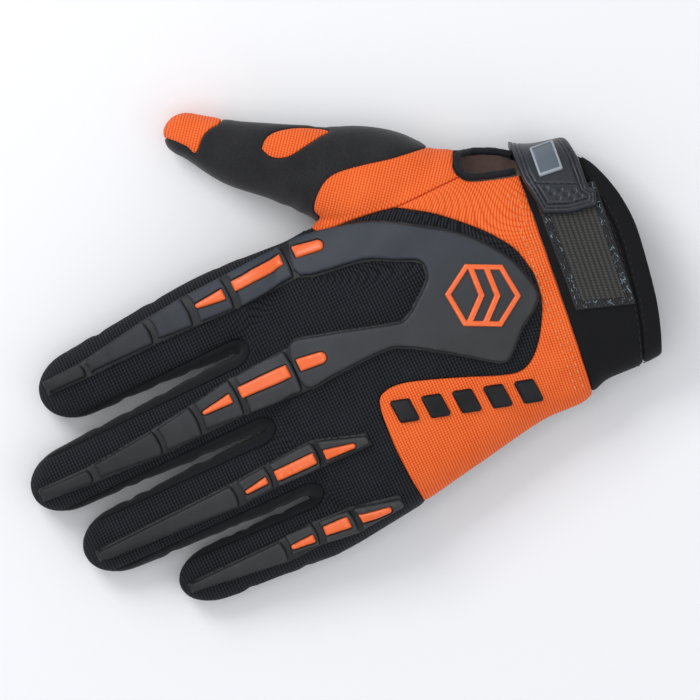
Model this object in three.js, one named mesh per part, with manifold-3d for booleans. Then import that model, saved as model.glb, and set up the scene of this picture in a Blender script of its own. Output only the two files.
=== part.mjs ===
// A left motocross glove with moulded rubber armour, lying palm down.
// Units are millimetres. +Z is up, +Y runs along the fingers and +X is the thumb's side.
// Every cloth panel is cut from one hollow shell, so neighbours meet edge to edge at a seam.
import * as THREE from "three";
import { mergeVertices } from "three/addons/utils/BufferGeometryUtils.js";
import Module from "manifold-3d";

const wasm = await Module();
wasm.setup();

// Driving dimensions

const seamGap = 0.4; // between two panels, or a panel and what lies on it
const fabricWall = 1.8;
const cuffWall = 2.8;

const palmLength = 85; // from the wrist seam to the knuckle line
const palmThickness = 36; // from the floor to the back of the hand
const palmDip = 3; // how much of the palm's round underside is pressed flat
const sideSeamHeight = 14.3; // of the seam between the back and the palm
const webReach = 31; // from the knuckle line to the webs
const webRound = 8; // length of the round front between the fingers

const fingerLength = 125; // of the middle finger, from root to tip
const fingerWidth = 28; // of the middle finger
const fingerThickness = 26;
const fingerGap = 1;
const fanReach = 45; // past the knuckle line, where the fingers stand side by side
const fanShift = -4.9; // of the row of fingers there, away from the thumb
const palmSqueeze = 3; // how much narrower the palm is than the row of fingers
const tipRound = 16; // length of a fingertip's round end

const thumbLength = 98;
const thumbWidth = 38;
const thumbThickness = 31;
const thumbLean = 32.8; // degrees
const thumbRoot = { across: 0.486, along: 0.39 }; // shares of the palm's width and length
const thumbTipRound = 9;

const cuffLength = 33.5;
const hemWidth = 7;
const hemRise = 0.7; // of the hem above the cuff

const bindingRadius = 1.2;
const bindingSink = 0.5; // how deep the binding's middle lies below the shell's face

const armourBase = 0.8; // the thin skirt that joins the raised blocks
const armourHeight = 2.6;
const skirt = 0.9; // how far the base stands out round a block
const barCorner = 1.1;
const plateReach = 5; // of a finger's base into the plate's
const barRise = 0.5; // of an inlaid bar above its block
const barPocket = 1; // depth of a bar's pocket
const emblemLength = 27;
const emblemWidth = 22;
const emblemLine = 1.9;
const emblemRise = 0.8;
const sideBarLength = 7.5;
const sideBarWidth = 8.5;
const sideBarRise = 0.6;

const patchThickness = 1;
const strapThickness = 2.4;
const strapRootHeight = 6; // where the strap is sewn on, low on the thumb's side
const pullRise = 0.7; // of the strap's pull end
const plateRise = 0.7;

// Lengths are shares of fingerLength, widths of fingerWidth and thicknesses of fingerThickness. root
// and tip are shares of the finger's own width, and back, the root's place behind the knuckle line,
// of fingerLength.
const fingers = [
  { name: "index", length: 0.884, width: 1.09, thick: 1.0, root: 0.8, tip: 0.8, back: 0.045, lean: 7.2 },
  { name: "middle", length: 1.0, width: 1.0, thick: 1.03, root: 0.95, tip: 0.82, back: 0.05, lean: 6.5 },
  { name: "ring", length: 0.934, width: 0.975, thick: 1.0, root: 0.95, tip: 0.86, back: 0.072, lean: 5.6 },
  { name: "little", length: 0.741, width: 0.785, thick: 0.88, root: 0.6, tip: 0.93, back: 0.112, lean: 4 },
];

// Sections of a finger up to its round tip. root and tip weigh those widths against the full one,
// and top and bottom are heights as shares of the finger's thickness.
const fingerSections = [
  { along: 0.0, root: 1.0, tip: 0.0, top: 0.85, bottom: 0.3 },
  { along: 0.18, root: 0.55, tip: 0.0, top: 1.1, bottom: -0.02 },
  { along: 0.46, root: 0.0, tip: 0.0, top: 1.0, bottom: 0.08 },
  { along: 0.64, root: 0.0, tip: 0.35, top: 0.89, bottom: 0.09 },
  { along: 0.82, root: 0.0, tip: 0.7, top: 0.79, bottom: 0.05 },
  { along: 1.0, root: 0.0, tip: 1.0, top: 0.68, bottom: -0.04 },
];
const seamTurn = 0.5; // share of a finger's length past which its side seam leaves the palm's height

// Sections of the thumb up to its round tip. inner faces the index finger.
const thumbSections = [
  { along: 0.0, outer: 0.42, inner: 0.4, top: 0.98, bottom: -0.08 },
  { along: 0.17, outer: 0.51, inner: 0.52, top: 1.04, bottom: -0.06 },
  { along: 0.35, outer: 0.477, inner: 0.525, top: 1.0, bottom: -0.03 },
  { along: 0.46, outer: 0.405, inner: 0.455, top: 0.95, bottom: 0.02 },
  { along: 0.6, outer: 0.345, inner: 0.395, top: 0.87, bottom: 0.05 },
  { along: 0.84, outer: 0.25, inner: 0.335, top: 0.75, bottom: 0.02 },
  { along: 1.0, outer: 0.225, inner: 0.2, top: 0.62, bottom: -0.03 },
];

// Sections of the cuff, from its open end. past is a share of cuffLength from the wrist seam, and
// little and thumb are the sides, as shares of the palm's width from its middle line.
const cuffSections = [
  { past: 1.27, little: 0.25, thumb: 0.465, top: 0.9 },
  { past: 0.56, little: 0.275, thumb: 0.487, top: 0.92 },
  { past: 0.08, little: 0.298, thumb: 0.518, top: 0.93 },
];

// Sections of the palm. along is the share of the way from the wrist seam to the knuckle line.
const palmSections = [
  { along: 0.04, little: 0.326, thumb: 0.554, top: 0.93 },
  { along: 0.22, little: 0.342, thumb: 0.602, top: 0.97 },
  { along: 0.41, little: 0.38, thumb: 0.647, top: 1.01 },
  { along: 0.6, little: 0.422, thumb: 0.61, top: 1.02 },
  { along: 0.82, little: 0.472, thumb: 0.532, top: 1.02 },
  { along: 1.04, little: 0.5, thumb: 0.494, top: 0.96 },
];

// Sections from the knuckle line to the round front. past is a share of webReach.
const frontSections = [
  { past: 0.4, little: 0.47, thumb: 0.486, top: 0.88 },
  { past: 0.75, little: 0.335, thumb: 0.472, top: 0.76 },
];

const palmSides = 24;
const palmInnerSides = 14;
const digitSides = 12;
const digitInnerSides = 8;
const capRings = 3;
const innerCapRings = 2;
const capTurn = 78; // degrees of the round end that rings cover before it is closed flat
const squareness = 2.5; // 2 would be an ellipse
const cutDepth = 120; // more than any height here
const far = 400; // a reach that is outside the glove

const rad = THREE.MathUtils.degToRad;
const rowWidth =
  fingers.reduce((sum, f) => sum + f.width * fingerWidth, 0) + (fingers.length - 1) * fingerGap;
const palmWidth = rowWidth - palmSqueeze;

// Materials

const cloth = (color, roughness) => new THREE.MeshStandardMaterial({ color, roughness, metalness: 0 });
const blackRib = cloth(0x15161a, 0.85);
const blackSuede = cloth(0x1c1c1e, 0.95);
const orangeKnit = cloth(0xe85a1c, 0.8);
const neoprene = cloth(0x141418, 0.9);
const greyRubber = cloth(0x2b2d31, 0.5);
const orangeRubber = cloth(0xf26a2e, 0.45);
const blackRubber = cloth(0x0c0d10, 0.35);
const loopPile = cloth(0x35332f, 0.95);
const silverInk = new THREE.MeshStandardMaterial({ color: 0x9aa0a6, roughness: 0.35, metalness: 0.4 });

// Solids from geometry, and back

function solidOf(geometry) {
  const bare = geometry.index ? geometry.toNonIndexed() : geometry.clone();
  bare.deleteAttribute("normal");
  bare.deleteAttribute("uv");
  const merged = mergeVertices(bare, 1e-4);
  return new wasm.Manifold(
    new wasm.Mesh({
      numProp: 3,
      vertProperties: merged.attributes.position.array,
      triVerts: new Uint32Array(merged.index.array),
    }),
  );
}

function meshOf(name, manifold, material) {
  const data = manifold.getMesh();
  const geometry = new THREE.BufferGeometry();
  geometry.setAttribute("position", new THREE.BufferAttribute(data.vertProperties, 3));
  geometry.setIndex(new THREE.BufferAttribute(data.triVerts, 1));
  geometry.computeVertexNormals();
  const mesh = new THREE.Mesh(geometry, material);
  mesh.name = name;
  return mesh;
}

const joined = (solids) => solids.reduce((all, one) => all.add(one));

// A closed skin through rings that hold the same number of points.
function loft(rings) {
  const count = rings[0].length;
  const points = rings.flat();
  const index = [];
  for (let r = 0; r + 1 < rings.length; r++)
    for (let i = 0; i < count; i++) {
      const a = r * count + i;
      const b = r * count + ((i + 1) % count);
      index.push(a, a + count, b, b, a + count, b + count);
    }
  const middle = (ring) =>
    ring.reduce((sum, p) => sum.add(p), new THREE.Vector3()).divideScalar(ring.length);
  const start = points.push(middle(rings[0])) - 1;
  const end = points.push(middle(rings[rings.length - 1])) - 1;
  const last = (rings.length - 1) * count;
  for (let i = 0; i < count; i++) {
    const next = (i + 1) % count;
    index.push(start, i, next, end, last + next, last + i);
  }
  const geometry = new THREE.BufferGeometry().setFromPoints(points);
  geometry.setIndex(index);
  return geometry;
}

// One section: a flattened ellipse between its sides, its bottom and its top.
function ring(section, sides) {
  const { along, left, right, bottom, top } = section;
  const bend = (c) => Math.sign(c) * Math.abs(c) ** (2 / squareness);
  return Array.from({ length: sides }, (_, i) => {
    const turn = (2 * Math.PI * i) / sides;
    const across = (left + right) / 2 + ((right - left) / 2) * bend(Math.cos(turn));
    const height = (bottom + top) / 2 + ((top - bottom) / 2) * bend(Math.sin(turn));
    return new THREE.Vector3(across, along, height);
  });
}

// A tube through its sections, grown by offset, with a round end of length cap past the last one.
function tube(sections, cap, sides, rings, offset) {
  const grown = sections.map((s) => ({
    along: s.along,
    left: s.left - offset,
    right: s.right + offset,
    bottom: s.bottom - offset,
    top: s.top + offset,
  }));
  const end = grown[grown.length - 1];
  const side = (end.left + end.right) / 2;
  const level = (end.bottom + end.top) / 2;
  for (let k = 1; k <= rings; k++) {
    const turn = rad((capTurn * k) / rings);
    const shrink = Math.cos(turn);
    grown.push({
      along: end.along + (cap + offset) * Math.sin(turn),
      left: side + (end.left - side) * shrink,
      right: side + (end.right - side) * shrink,
      bottom: level + (end.bottom - level) * shrink,
      top: level + (end.top - level) * shrink,
    });
  }
  return loft(grown.map((s) => ring(s, sides)));
}

// Where each digit starts and how it lies

const rowStart = rowWidth / 2 + fanShift;

function fingerPlan(finger, i) {
  const width = finger.width * fingerWidth;
  const before = fingers.slice(0, i).reduce((sum, f) => sum + f.width * fingerWidth + fingerGap, 0);
  const lean = rad(finger.lean);
  const rootY = -finger.back * fingerLength;
  const across = rowStart - before - width / 2 + Math.tan(lean) * (fanReach - rootY);
  const length = finger.length * fingerLength;
  const sections = fingerSections.map((s) => {
    const wide = width * (1 + s.root * (finger.root - 1) + s.tip * (finger.tip - 1));
    return {
      along: s.along * (length - tipRound),
      left: -wide / 2,
      right: wide / 2,
      bottom: s.bottom * finger.thick * fingerThickness,
      top: s.top * finger.thick * fingerThickness,
    };
  });
  const root = new THREE.Vector2(across, rootY);
  return { name: finger.name, root, lean, width, length, cap: tipRound, sections };
}

const thumbPlan = {
  name: "thumb",
  width: thumbWidth,
  length: thumbLength,
  root: new THREE.Vector2(thumbRoot.across * palmWidth, (thumbRoot.along - 1) * palmLength),
  lean: -rad(thumbLean),
  cap: thumbTipRound,
  sections: thumbSections.map((s) => ({
    along: s.along * (thumbLength - thumbTipRound),
    left: -s.inner * thumbWidth,
    right: s.outer * thumbWidth,
    bottom: s.bottom * thumbThickness,
    top: s.top * thumbThickness,
  })),
};

const palmRows = [
  ...cuffSections.map((s) => ({ ...s, along: -palmLength - s.past * cuffLength })),
  ...palmSections.map((s) => ({ ...s, along: (s.along - 1) * palmLength })),
  ...frontSections.map((s) => ({ ...s, along: s.past * webReach })),
].map((s) => ({
  along: s.along,
  left: -s.little * palmWidth,
  right: s.thumb * palmWidth,
  bottom: -palmDip,
  top: s.top * palmThickness,
}));

const fingerPlans = fingers.map(fingerPlan);
const digits = [...fingerPlans, thumbPlan];

// Puts what is modelled along +Y from the origin onto a digit's root.
function placeOnDigit(geometry, digit) {
  return geometry.rotateZ(digit.lean).translate(digit.root.x, digit.root.y, 0);
}

// The palm and wrist alone, and the whole hand, each grown by offset.
function palmBody(offset) {
  const inside = offset < 0;
  const sides = inside ? palmInnerSides : palmSides;
  return solidOf(tube(palmRows, webRound, sides, innerCapRings, offset));
}

function digitBody(digit, offset) {
  const inside = offset < 0;
  const sides = inside ? digitInnerSides : digitSides;
  const rings = inside ? innerCapRings : capRings;
  return solidOf(placeOnDigit(tube(digit.sections, digit.cap, sides, rings, offset), digit));
}

const handBody = (offset) => joined([palmBody(offset), ...digits.map((d) => digitBody(d, offset))]);

// Cutters

function prism(points, bottom = -cutDepth, top = cutDepth) {
  const geometry = new THREE.ExtrudeGeometry(new THREE.Shape(points), {
    depth: top - bottom,
    bevelEnabled: false,
  });
  return solidOf(geometry.translate(0, 0, bottom));
}

const flat = ([x, y]) => new THREE.Vector2(x, y);
const above = (height) => prism([[-far, -far], [far, -far], [far, far], [-far, far]].map(flat), height);

// The outline moved outwards by distance. Its points run anticlockwise.
function grow(points, distance) {
  return points.map((p, i) => {
    const before = points[(i + points.length - 1) % points.length];
    const after = points[(i + 1) % points.length];
    const inward = p.clone().sub(before).normalize();
    const onward = after.clone().sub(p).normalize();
    const normal = new THREE.Vector2(inward.y + onward.y, -inward.x - onward.x).normalize();
    const corner = Math.max(0.5, normal.x * onward.y - normal.y * onward.x);
    return p.clone().addScaledVector(normal, distance / corner);
  });
}

function anticlockwise(points) {
  return THREE.ShapeUtils.isClockWise(points) ? [...points].reverse() : points;
}

// A smooth line through points, and plan points from shares of the palm and of the cuff
const smooth = (points, pieces) => new THREE.SplineCurve(points).getPoints(pieces);
const onPalm = ([across, along]) => new THREE.Vector2(across * palmWidth, (along - 1) * palmLength);
const onCuff = ([across, past]) => new THREE.Vector2(across * palmWidth, -palmLength - past * cuffLength);

// A plan point from a digit's own measures: mm along it and to its thumb side.
function onDigit(digit, along, side) {
  return new THREE.Vector2(side, along).rotateAround(new THREE.Vector2(), digit.lean).add(digit.root);
}

// Everything below the seam that joins the back to the palm, with that seam raised by lift. Along a
// finger the seam runs down to the middle of its tip.
function belowSideSeam(lift) {
  const slab = (line, left, right) => {
    const shape = new THREE.Shape([
      new THREE.Vector2(line[0][0], -cutDepth),
      ...line.map(([along, height]) => new THREE.Vector2(along, height + lift)),
      new THREE.Vector2(line[line.length - 1][0], -cutDepth),
    ]);
    const wall = new THREE.ExtrudeGeometry(shape, { depth: right - left, bevelEnabled: false });
    return wall.translate(0, 0, left).rotateX(Math.PI / 2).rotateZ(Math.PI / 2);
  };
  const fingerSlabs = fingerPlans.map((d, i) => {
    const turn = seamTurn * (d.length - d.cap);
    const lower = d.sections.filter((s) => s.along > turn).map((s) => [s.along, (s.top + s.bottom) / 2]);
    const line = [
      [d.sections[1].along, sideSeamHeight],
      [turn, sideSeamHeight],
      ...lower,
      [d.length + d.cap, lower[lower.length - 1][1]],
    ];
    const reach = (d.width + fingerGap) / 2;
    const last = i === fingerPlans.length - 1;
    return solidOf(placeOnDigit(slab(line, last ? -cutDepth : -reach, i === 0 ? cutDepth : reach), d));
  });
  const palmSlab = [
    [-far, sideSeamHeight],
    [webReach, sideSeamHeight],
  ];
  return joined([solidOf(slab(palmSlab, -far, far)), ...fingerSlabs]);
}

// Seam lines in plan: each point is a share of the palm's width from its middle line and a share
// of the way from the wrist seam to the knuckle line.

const backSeam = [
  [0.56, 0.93],
  [0.51, 0.9],
  [0.492, 0.85],
  [0.492, 0.706],
  [0.485, 0.541],
  [0.421, 0.394],
  [0.338, 0.253],
  [0.264, 0.159],
  [0.199, 0.106],
  [0.116, 0.079],
  [0.032, 0.085],
  [-0.051, 0.124],
  [-0.125, 0.182],
  [-0.165, 0.253],
  [-0.16, 0.341],
  [-0.13, 0.471],
  [-0.097, 0.624],
  [-0.076, 0.753],
  [-0.083, 0.835],
  [-0.12, 0.873],
  [-0.236, 0.873],
  [-0.356, 0.856],
  [-0.477, 0.826],
  [-0.65, 0.79],
];
const backPeak = 4; // the row above where the seam turns a corner

const suedeSeam = [
  [0.53, 0.95],
  [0.53, 0.862],
  [0.56, 0.872],
  [0.597, 0.847],
  [0.637, 0.794],
  [0.656, 0.73],
  [0.653, 0.612],
  [0.643, 0.494],
  [0.642, 0.388],
  [0.646, 0.294],
  [0.68, 0.2],
];

const gussetSeam = [
  [0.47, 1.1],
  [0.474, 0.7],
  [0.484, 0.541],
  [0.497, 0.388],
  [0.516, 0.2],
];

// The wrist slot's lip, from the thumb's side round its end and down to the cuff's opening.
const slotLip = [
  [0.64, 0.19],
  [0.58, 0.218],
  [0.541, 0.235],
  [0.51, 0.218],
  [0.494, 0.18],
  [0.476, 0.082],
  [0.468, 0.012],
  [0.46, -0.1],
  [0.455, -0.3],
];

// The cuff's open end and what lies on the cuff: shares of the palm's width, and of the cuff's
// length from the wrist seam.

const cuffEnd = [
  [0.75, 0.0],
  [0.62, 0.253],
  [0.53, 0.505],
  [0.47, 0.619],
  [0.413, 0.773],
  [0.32, 0.907],
  [0.227, 0.98],
  [0.134, 1.0],
  [-0.051, 0.965],
  [-0.16, 0.914],
  [-0.264, 0.833],
  [-0.4, 0.707],
];

const patchEdge = [
  [0.357, 0.071],
  [0.351, 0.739],
  [-0.079, 0.726],
  [-0.035, 0.099],
];

const strapEdge = [
  [0.64, -0.01],
  [0.561, -0.01],
  [0.434, 0.015],
  [0.303, 0.099],
  [0.277, 0.367],
  [0.27, 0.677],
  [0.32, 0.72],
  [0.343, 0.654],
  [0.446, 0.652],
  [0.511, 0.611],
  [0.64, 0.536],
];

const pullEdge = [
  [0.4, 0.081],
  [0.321, 0.132],
  [0.293, 0.367],
  [0.286, 0.632],
  [0.345, 0.599],
];

const strapPlateEdge = [
  [0.425, 0.193],
  [0.527, 0.193],
  [0.527, 0.46],
  [0.425, 0.46],
];

// The armour plate's outline, in shares of the palm's width and length

const plateEdge = [
  [0.482, 1.006],
  [0.483, 0.882],
  [0.468, 0.699],
  [0.434, 0.571],
  [0.357, 0.382],
  [0.279, 0.247],
  [0.185, 0.149],
  [0.07, 0.094],
  [0.019, 0.127],
  [-0.029, 0.202],
  [-0.107, 0.292],
  [-0.107, 0.353],
  [-0.047, 0.488],
  [0.032, 0.684],
  [0.046, 0.789],
  [0.024, 1.0],
  [0.016, 1.135],
  [0.162, 1.141],
  [0.159, 1.0],
  [0.122, 0.736],
  [0.122, 0.647],
  [0.202, 0.533],
  [0.244, 0.504],
  [0.286, 0.518],
  [0.315, 0.608],
  [0.351, 0.744],
  [0.368, 1.009],
];

// Panels on the thumb: shares of its length and, to the side, of its width.

const thumbTipSeam = [
  [0.79, 0.4],
  [0.804, 0.211],
  [0.832, 0.132],
  [0.854, 0.024],
  [0.859, -0.1],
  [0.872, -0.15],
  [0.909, -0.1],
  [1.0, -0.07],
  [1.2, -0.07],
];

const thumbPatchEdge = [
  [0.634, 0.046],
  [0.628, 0.165],
  [0.593, 0.258],
  [0.523, 0.335],
  [0.438, 0.375],
  [0.41, 0.37],
  [0.44, 0.29],
  [0.488, 0.147],
  [0.536, 0.027],
  [0.591, -0.008],
];

// Armour blocks and their inlaid bars on each finger, from tip to root. near and far are shares of
// the finger's length, the sides shares of its width from its middle line.

const armourRows = {
  index: [
    { near: 0.828, far: 0.958, nearLeft: 0.02, nearRight: 0.17, farLeft: 0.04, farRight: 0.16 },
    { near: 0.583, far: 0.812, nearLeft: 0.02, nearRight: 0.29, farLeft: 0.04, farRight: 0.16 },
    { near: 0.442, far: 0.563, nearLeft: 0.0, nearRight: 0.33, farLeft: 0.04, farRight: 0.29 },
    { near: 0.297, far: 0.416, nearLeft: -0.03, nearRight: 0.34, farLeft: 0.0, farRight: 0.33 },
    { near: 0.080, far: 0.274, nearLeft: -0.02, nearRight: 0.35, farLeft: -0.05, farRight: 0.34 },
  ],
  middle: [
    { near: 0.821, far: 0.969, nearLeft: -0.17, nearRight: 0.0, farLeft: -0.10, farRight: 0.01 },
    { near: 0.604, far: 0.799, nearLeft: -0.23, nearRight: 0.08, farLeft: -0.15, farRight: 0.02 },
    { near: 0.479, far: 0.590, nearLeft: -0.22, nearRight: 0.15, farLeft: -0.21, farRight: 0.08 },
    { near: 0.344, far: 0.463, nearLeft: -0.22, nearRight: 0.24, farLeft: -0.18, farRight: 0.17 },
    { near: 0.163, far: 0.326, nearLeft: -0.28, nearRight: 0.28, farLeft: -0.23, farRight: 0.24 },
  ],
  ring: [
    { near: 0.498, far: 0.955, nearLeft: -0.24, nearRight: 0.04, farLeft: -0.13, farRight: -0.03 },
    { near: 0.380, far: 0.475, nearLeft: -0.21, nearRight: 0.08, farLeft: -0.23, farRight: 0.05 },
    { near: 0.216, far: 0.365, nearLeft: -0.22, nearRight: 0.12, farLeft: -0.22, farRight: 0.09 },
    { near: 0.058, far: 0.199, nearLeft: -0.21, nearRight: -0.09, farLeft: -0.22, farRight: 0.11 },
  ],
  little: [
    { near: 0.569, far: 0.956, nearLeft: -0.26, nearRight: 0.05, farLeft: -0.12, farRight: -0.02 },
    { near: 0.430, far: 0.549, nearLeft: -0.22, nearRight: 0.11, farLeft: -0.20, farRight: 0.11 },
    { near: 0.275, far: 0.405, nearLeft: -0.27, nearRight: 0.10, farLeft: -0.25, farRight: 0.10 },
    { near: 0.083, far: 0.256, nearLeft: -0.16, nearRight: -0.03, farLeft: -0.25, farRight: 0.12 },
  ],
};

const barRows = {
  index: [
    { near: 0.305, far: 0.407, nearLeft: 0.10, nearRight: 0.22, farLeft: 0.16, farRight: 0.19 },
    { near: 0.089, far: 0.269, nearLeft: 0.14, nearRight: 0.26, farLeft: 0.13, farRight: 0.24 },
    { near: -0.054, far: 0.044, nearLeft: 0.12, nearRight: 0.20, farLeft: 0.14, farRight: 0.27 },
  ],
  middle: [
    { near: 0.356, far: 0.450, nearLeft: -0.03, nearRight: 0.09, farLeft: -0.01, farRight: 0.03 },
    { near: 0.171, far: 0.328, nearLeft: -0.06, nearRight: 0.11, farLeft: -0.03, farRight: 0.11 },
    { near: 0.058, far: 0.140, nearLeft: -0.05, nearRight: 0.05, farLeft: -0.05, farRight: 0.12 },
  ],
  ring: [
    { near: 0.386, far: 0.462, nearLeft: -0.13, nearRight: -0.04, farLeft: -0.14, farRight: -0.09 },
    { near: 0.222, far: 0.357, nearLeft: -0.15, nearRight: -0.01, farLeft: -0.15, farRight: -0.02 },
    { near: 0.093, far: 0.188, nearLeft: -0.175, nearRight: -0.115, farLeft: -0.17, farRight: -0.03 },
  ],
  little: [
    { near: 0.437, far: 0.537, nearLeft: -0.16, nearRight: -0.04, farLeft: -0.14, farRight: -0.07 },
    { near: 0.287, far: 0.392, nearLeft: -0.16, nearRight: 0.01, farLeft: -0.14, farRight: 0.0 },
    { near: 0.123, far: 0.244, nearLeft: -0.13, nearRight: -0.06, farLeft: -0.16, farRight: 0.0 },
  ],
};

// The emblem on the plate and the bars on the little finger's side
const emblemPlace = { across: 0.112, along: 0.315, turn: -20 };
const sideBars = { first: [-0.165, 0.78], last: [-0.238, 0.26], count: 5, skew: 3 };

// Cutters that follow those lines

// A line closed through corners that lie outside the glove
const openShape = (line, corners) => anticlockwise([...line, ...corners.map(flat)]);

function backOutline() {
  const points = backSeam.map(onPalm);
  const line = [
    ...smooth(points.slice(0, backPeak + 1), 5),
    ...smooth(points.slice(backPeak), 18).slice(1),
  ];
  return openShape(line, [[-far, far], [far, far]]);
}

function suedeOutline() {
  const line = smooth(suedeSeam.map(onPalm), 11);
  return openShape(line, [[far, line[line.length - 1].y], [far, far], [line[0].x, far]]);
}

function gussetOutline() {
  const line = smooth(gussetSeam.map(onPalm), 5);
  return openShape(line, [[line[line.length - 1].x, -far], [far, -far], [far, line[0].y]]);
}

function slotOutline() {
  const line = smooth(slotLip.map(onPalm), 10);
  return openShape(line, [[line[line.length - 1].x, -far], [far, -far], [far, line[0].y]]);
}

// The cuff's plan up to a line that runs inset mm inside its open end
function cuffOutline(inset) {
  const line = smooth(cuffEnd.map(onCuff), 12).map((p) => p.add(new THREE.Vector2(0, inset)));
  return openShape(line, [[-far, -palmLength], [-far, far], [far, far], [far, -palmLength]]);
}

const wristShape = (shift) => {
  const y = -palmLength + shift;
  return openShape([new THREE.Vector2(-far, y), new THREE.Vector2(far, y)], [[far, -far], [-far, -far]]);
};

const onThumb = ([along, side]) => onDigit(thumbPlan, along * thumbLength, side * thumbWidth);
const thumbTipOutline = openShape(smooth(thumbTipSeam.map(onThumb), 8), [[far, far], [far, 0]]);
const thumbPatchOutline = anticlockwise(thumbPatchEdge.map(onThumb));

// The strip between two fingers covers their facing sides and the web.
const stripSide = 0.72; // of the half width, where the strip meets the back
const stripEnd = 0.9; // of the finger's length
const stripRound = 6; // how far its round end at the web comes past its straight edges
const stripStarts = [0.88, 0.88, 0.6]; // of webReach, the round ends from the index finger's on

function stripOutline(a, b, start) {
  const edge = (d, side, along) => onDigit(d, along, (side * stripSide * d.width) / 2);
  const webAt = (d) => (start * webReach + stripRound - d.root.y) / Math.cos(d.lean);
  const nearA = edge(a, -1, webAt(a));
  const nearB = edge(b, 1, webAt(b));
  const endA = edge(a, -1, stripEnd * a.length);
  const endB = edge(b, 1, stripEnd * b.length);
  const web = [0.25, 0.5, 0.75].map((t) => {
    const dip = new THREE.Vector2(0, stripRound * Math.sin(t * Math.PI));
    return nearA.clone().lerp(nearB, (1 - Math.cos(t * Math.PI)) / 2).sub(dip);
  });
  return openShape([endA, nearA, ...web, nearB, endB], [[endB.x, far], [endB.x + fingerGap, far]]);
}

// An armour block's outline, and a bar's with its corners cut off
function blockOutline(digit, row) {
  const at = (along, side) => onDigit(digit, along * digit.length, side * digit.width);
  return [
    at(row.near, row.nearLeft),
    at(row.near, row.nearRight),
    at(row.far, row.farRight),
    at(row.far, row.farLeft),
  ];
}

function barOutline(digit, row) {
  const corners = blockOutline(digit, row);
  return corners.flatMap((p, i) => {
    const ends = [corners[(i + 3) % 4], corners[(i + 1) % 4]];
    return ends.map((q) => p.clone().lerp(q, Math.min(barCorner / p.distanceTo(q), 0.3)));
  });
}

// The outline round all the blocks of one digit, carried on by reach past the last
function stripBase(digit, rows, reach) {
  const at = (along, side) => onDigit(digit, along * digit.length, side * digit.width);
  const last = rows[rows.length - 1];
  const end = last.near - reach / digit.length;
  const first = rows[0];
  const right = [at(first.far, first.farRight), ...rows.map((r) => at(r.near, r.nearRight))];
  const left = [at(first.far, first.farLeft), ...rows.map((r) => at(r.near, r.nearLeft))];
  if (reach > 0) {
    right.push(at(end, last.nearRight));
    left.push(at(end, last.nearLeft));
  }
  return anticlockwise([...left.reverse(), ...right]);
}

// Layers of the whole hand and of the wrist, from one distance off the shell to another

const kept = new Map();
function grown(offset) {
  if (!kept.has(offset)) kept.set(offset, handBody(offset));
  return kept.get(offset);
}
const layer = (low, high) => grown(high).subtract(grown(low));
const wristLayer = (low, high) => palmBody(high).subtract(palmBody(low));

// Cloth panels

const half = seamGap / 2;
const floor = above(0);
const shell = grown(0).intersect(floor).subtract(handBody(-fabricWall).intersect(above(fabricWall)));
const gloveShell = shell.subtract(prism(wristShape(half)));
const upper = gloveShell.subtract(belowSideSeam(half));
const lower = gloveShell.intersect(belowSideSeam(-half));

const cut = (outline, distance) => prism(grow(outline, distance));
const back = backOutline();
const suede = suedeOutline();
const gusset = gussetOutline();
const slotCut = prism(grow(slotOutline(), bindingRadius + seamGap), sideSeamHeight - half);

const glove = new THREE.Group();
const add = (name, solid, material) => glove.add(meshOf(name, solid, material));

const [indexPlan, middlePlan, ringPlan, littlePlan] = fingerPlans;
const strips = fingerPlans.slice(1).map((finger, i) => ({
  name: `strip_${fingerPlans[i].name}_${finger.name}`,
  outline: stripOutline(fingerPlans[i], finger, stripStarts[i]),
}));
const stripCuts = joined(strips.map((s) => cut(s.outline, half)));
add("back_panel", upper.intersect(cut(back, -half)).subtract(stripCuts), blackRib);
for (const s of strips) add(s.name, upper.intersect(cut(s.outline, -half)), blackRib);
add("palm_panel", lower.subtract(cut(suede, half)), blackSuede);

const orange = upper.subtract(cut(back, half)).subtract(cut(suede, half)).subtract(slotCut);
add("wrist_panel", orange.subtract(cut(gusset, half)), orangeKnit);
add("thumb_gusset", orange.intersect(cut(gusset, -half)), orangeKnit);

const thumb = gloveShell.intersect(cut(suede, -half));
const patchZone = (distance) => prism(grow(thumbPatchOutline, distance), thumbThickness / 2);
add("thumb_shell", thumb.subtract(cut(thumbTipOutline, half)).subtract(patchZone(half)), blackSuede);
add("thumb_tip", thumb.intersect(cut(thumbTipOutline, -half)), orangeKnit);
add("thumb_patch", thumb.intersect(patchZone(-half)), orangeKnit);

// Cuff

const wristHollow = palmBody(-cuffWall).intersect(above(cuffWall));
const cuffShell = (rise) => palmBody(rise).intersect(floor).subtract(wristHollow).subtract(slotCut);
const cuffZone = prism(wristShape(-half)).intersect(prism(cuffOutline(hemWidth + half)));
add("cuff", cuffShell(0).intersect(cuffZone), neoprene);
const hemZone = prism(cuffOutline(0)).subtract(prism(cuffOutline(hemWidth - half)));
add("cuff_hem", cuffShell(hemRise).intersect(hemZone), neoprene);

// Slot binding

function topAt(rows, x, y) {
  const i = rows.findIndex((r) => r.along > y);
  if (i < 1) return -Infinity;
  const [a, b] = [rows[i - 1], rows[i]];
  const part = (y - a.along) / (b.along - a.along);
  const at = (key) => a[key] + part * (b[key] - a[key]);
  const reach = Math.abs(x - (at("left") + at("right")) / 2) / ((at("right") - at("left")) / 2);
  if (reach > 1) return -Infinity;
  const level = (at("top") + at("bottom")) / 2;
  return level + (at("top") - level) * (1 - reach ** squareness) ** (1 / squareness);
}

// The palm's side towards the thumb, at a place along it
function thumbSideAt(y) {
  const i = palmRows.findIndex((r) => r.along > y);
  const [a, b] = [palmRows[i - 1], palmRows[i]];
  return a.right + ((y - a.along) / (b.along - a.along)) * (b.right - a.right);
}

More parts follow.
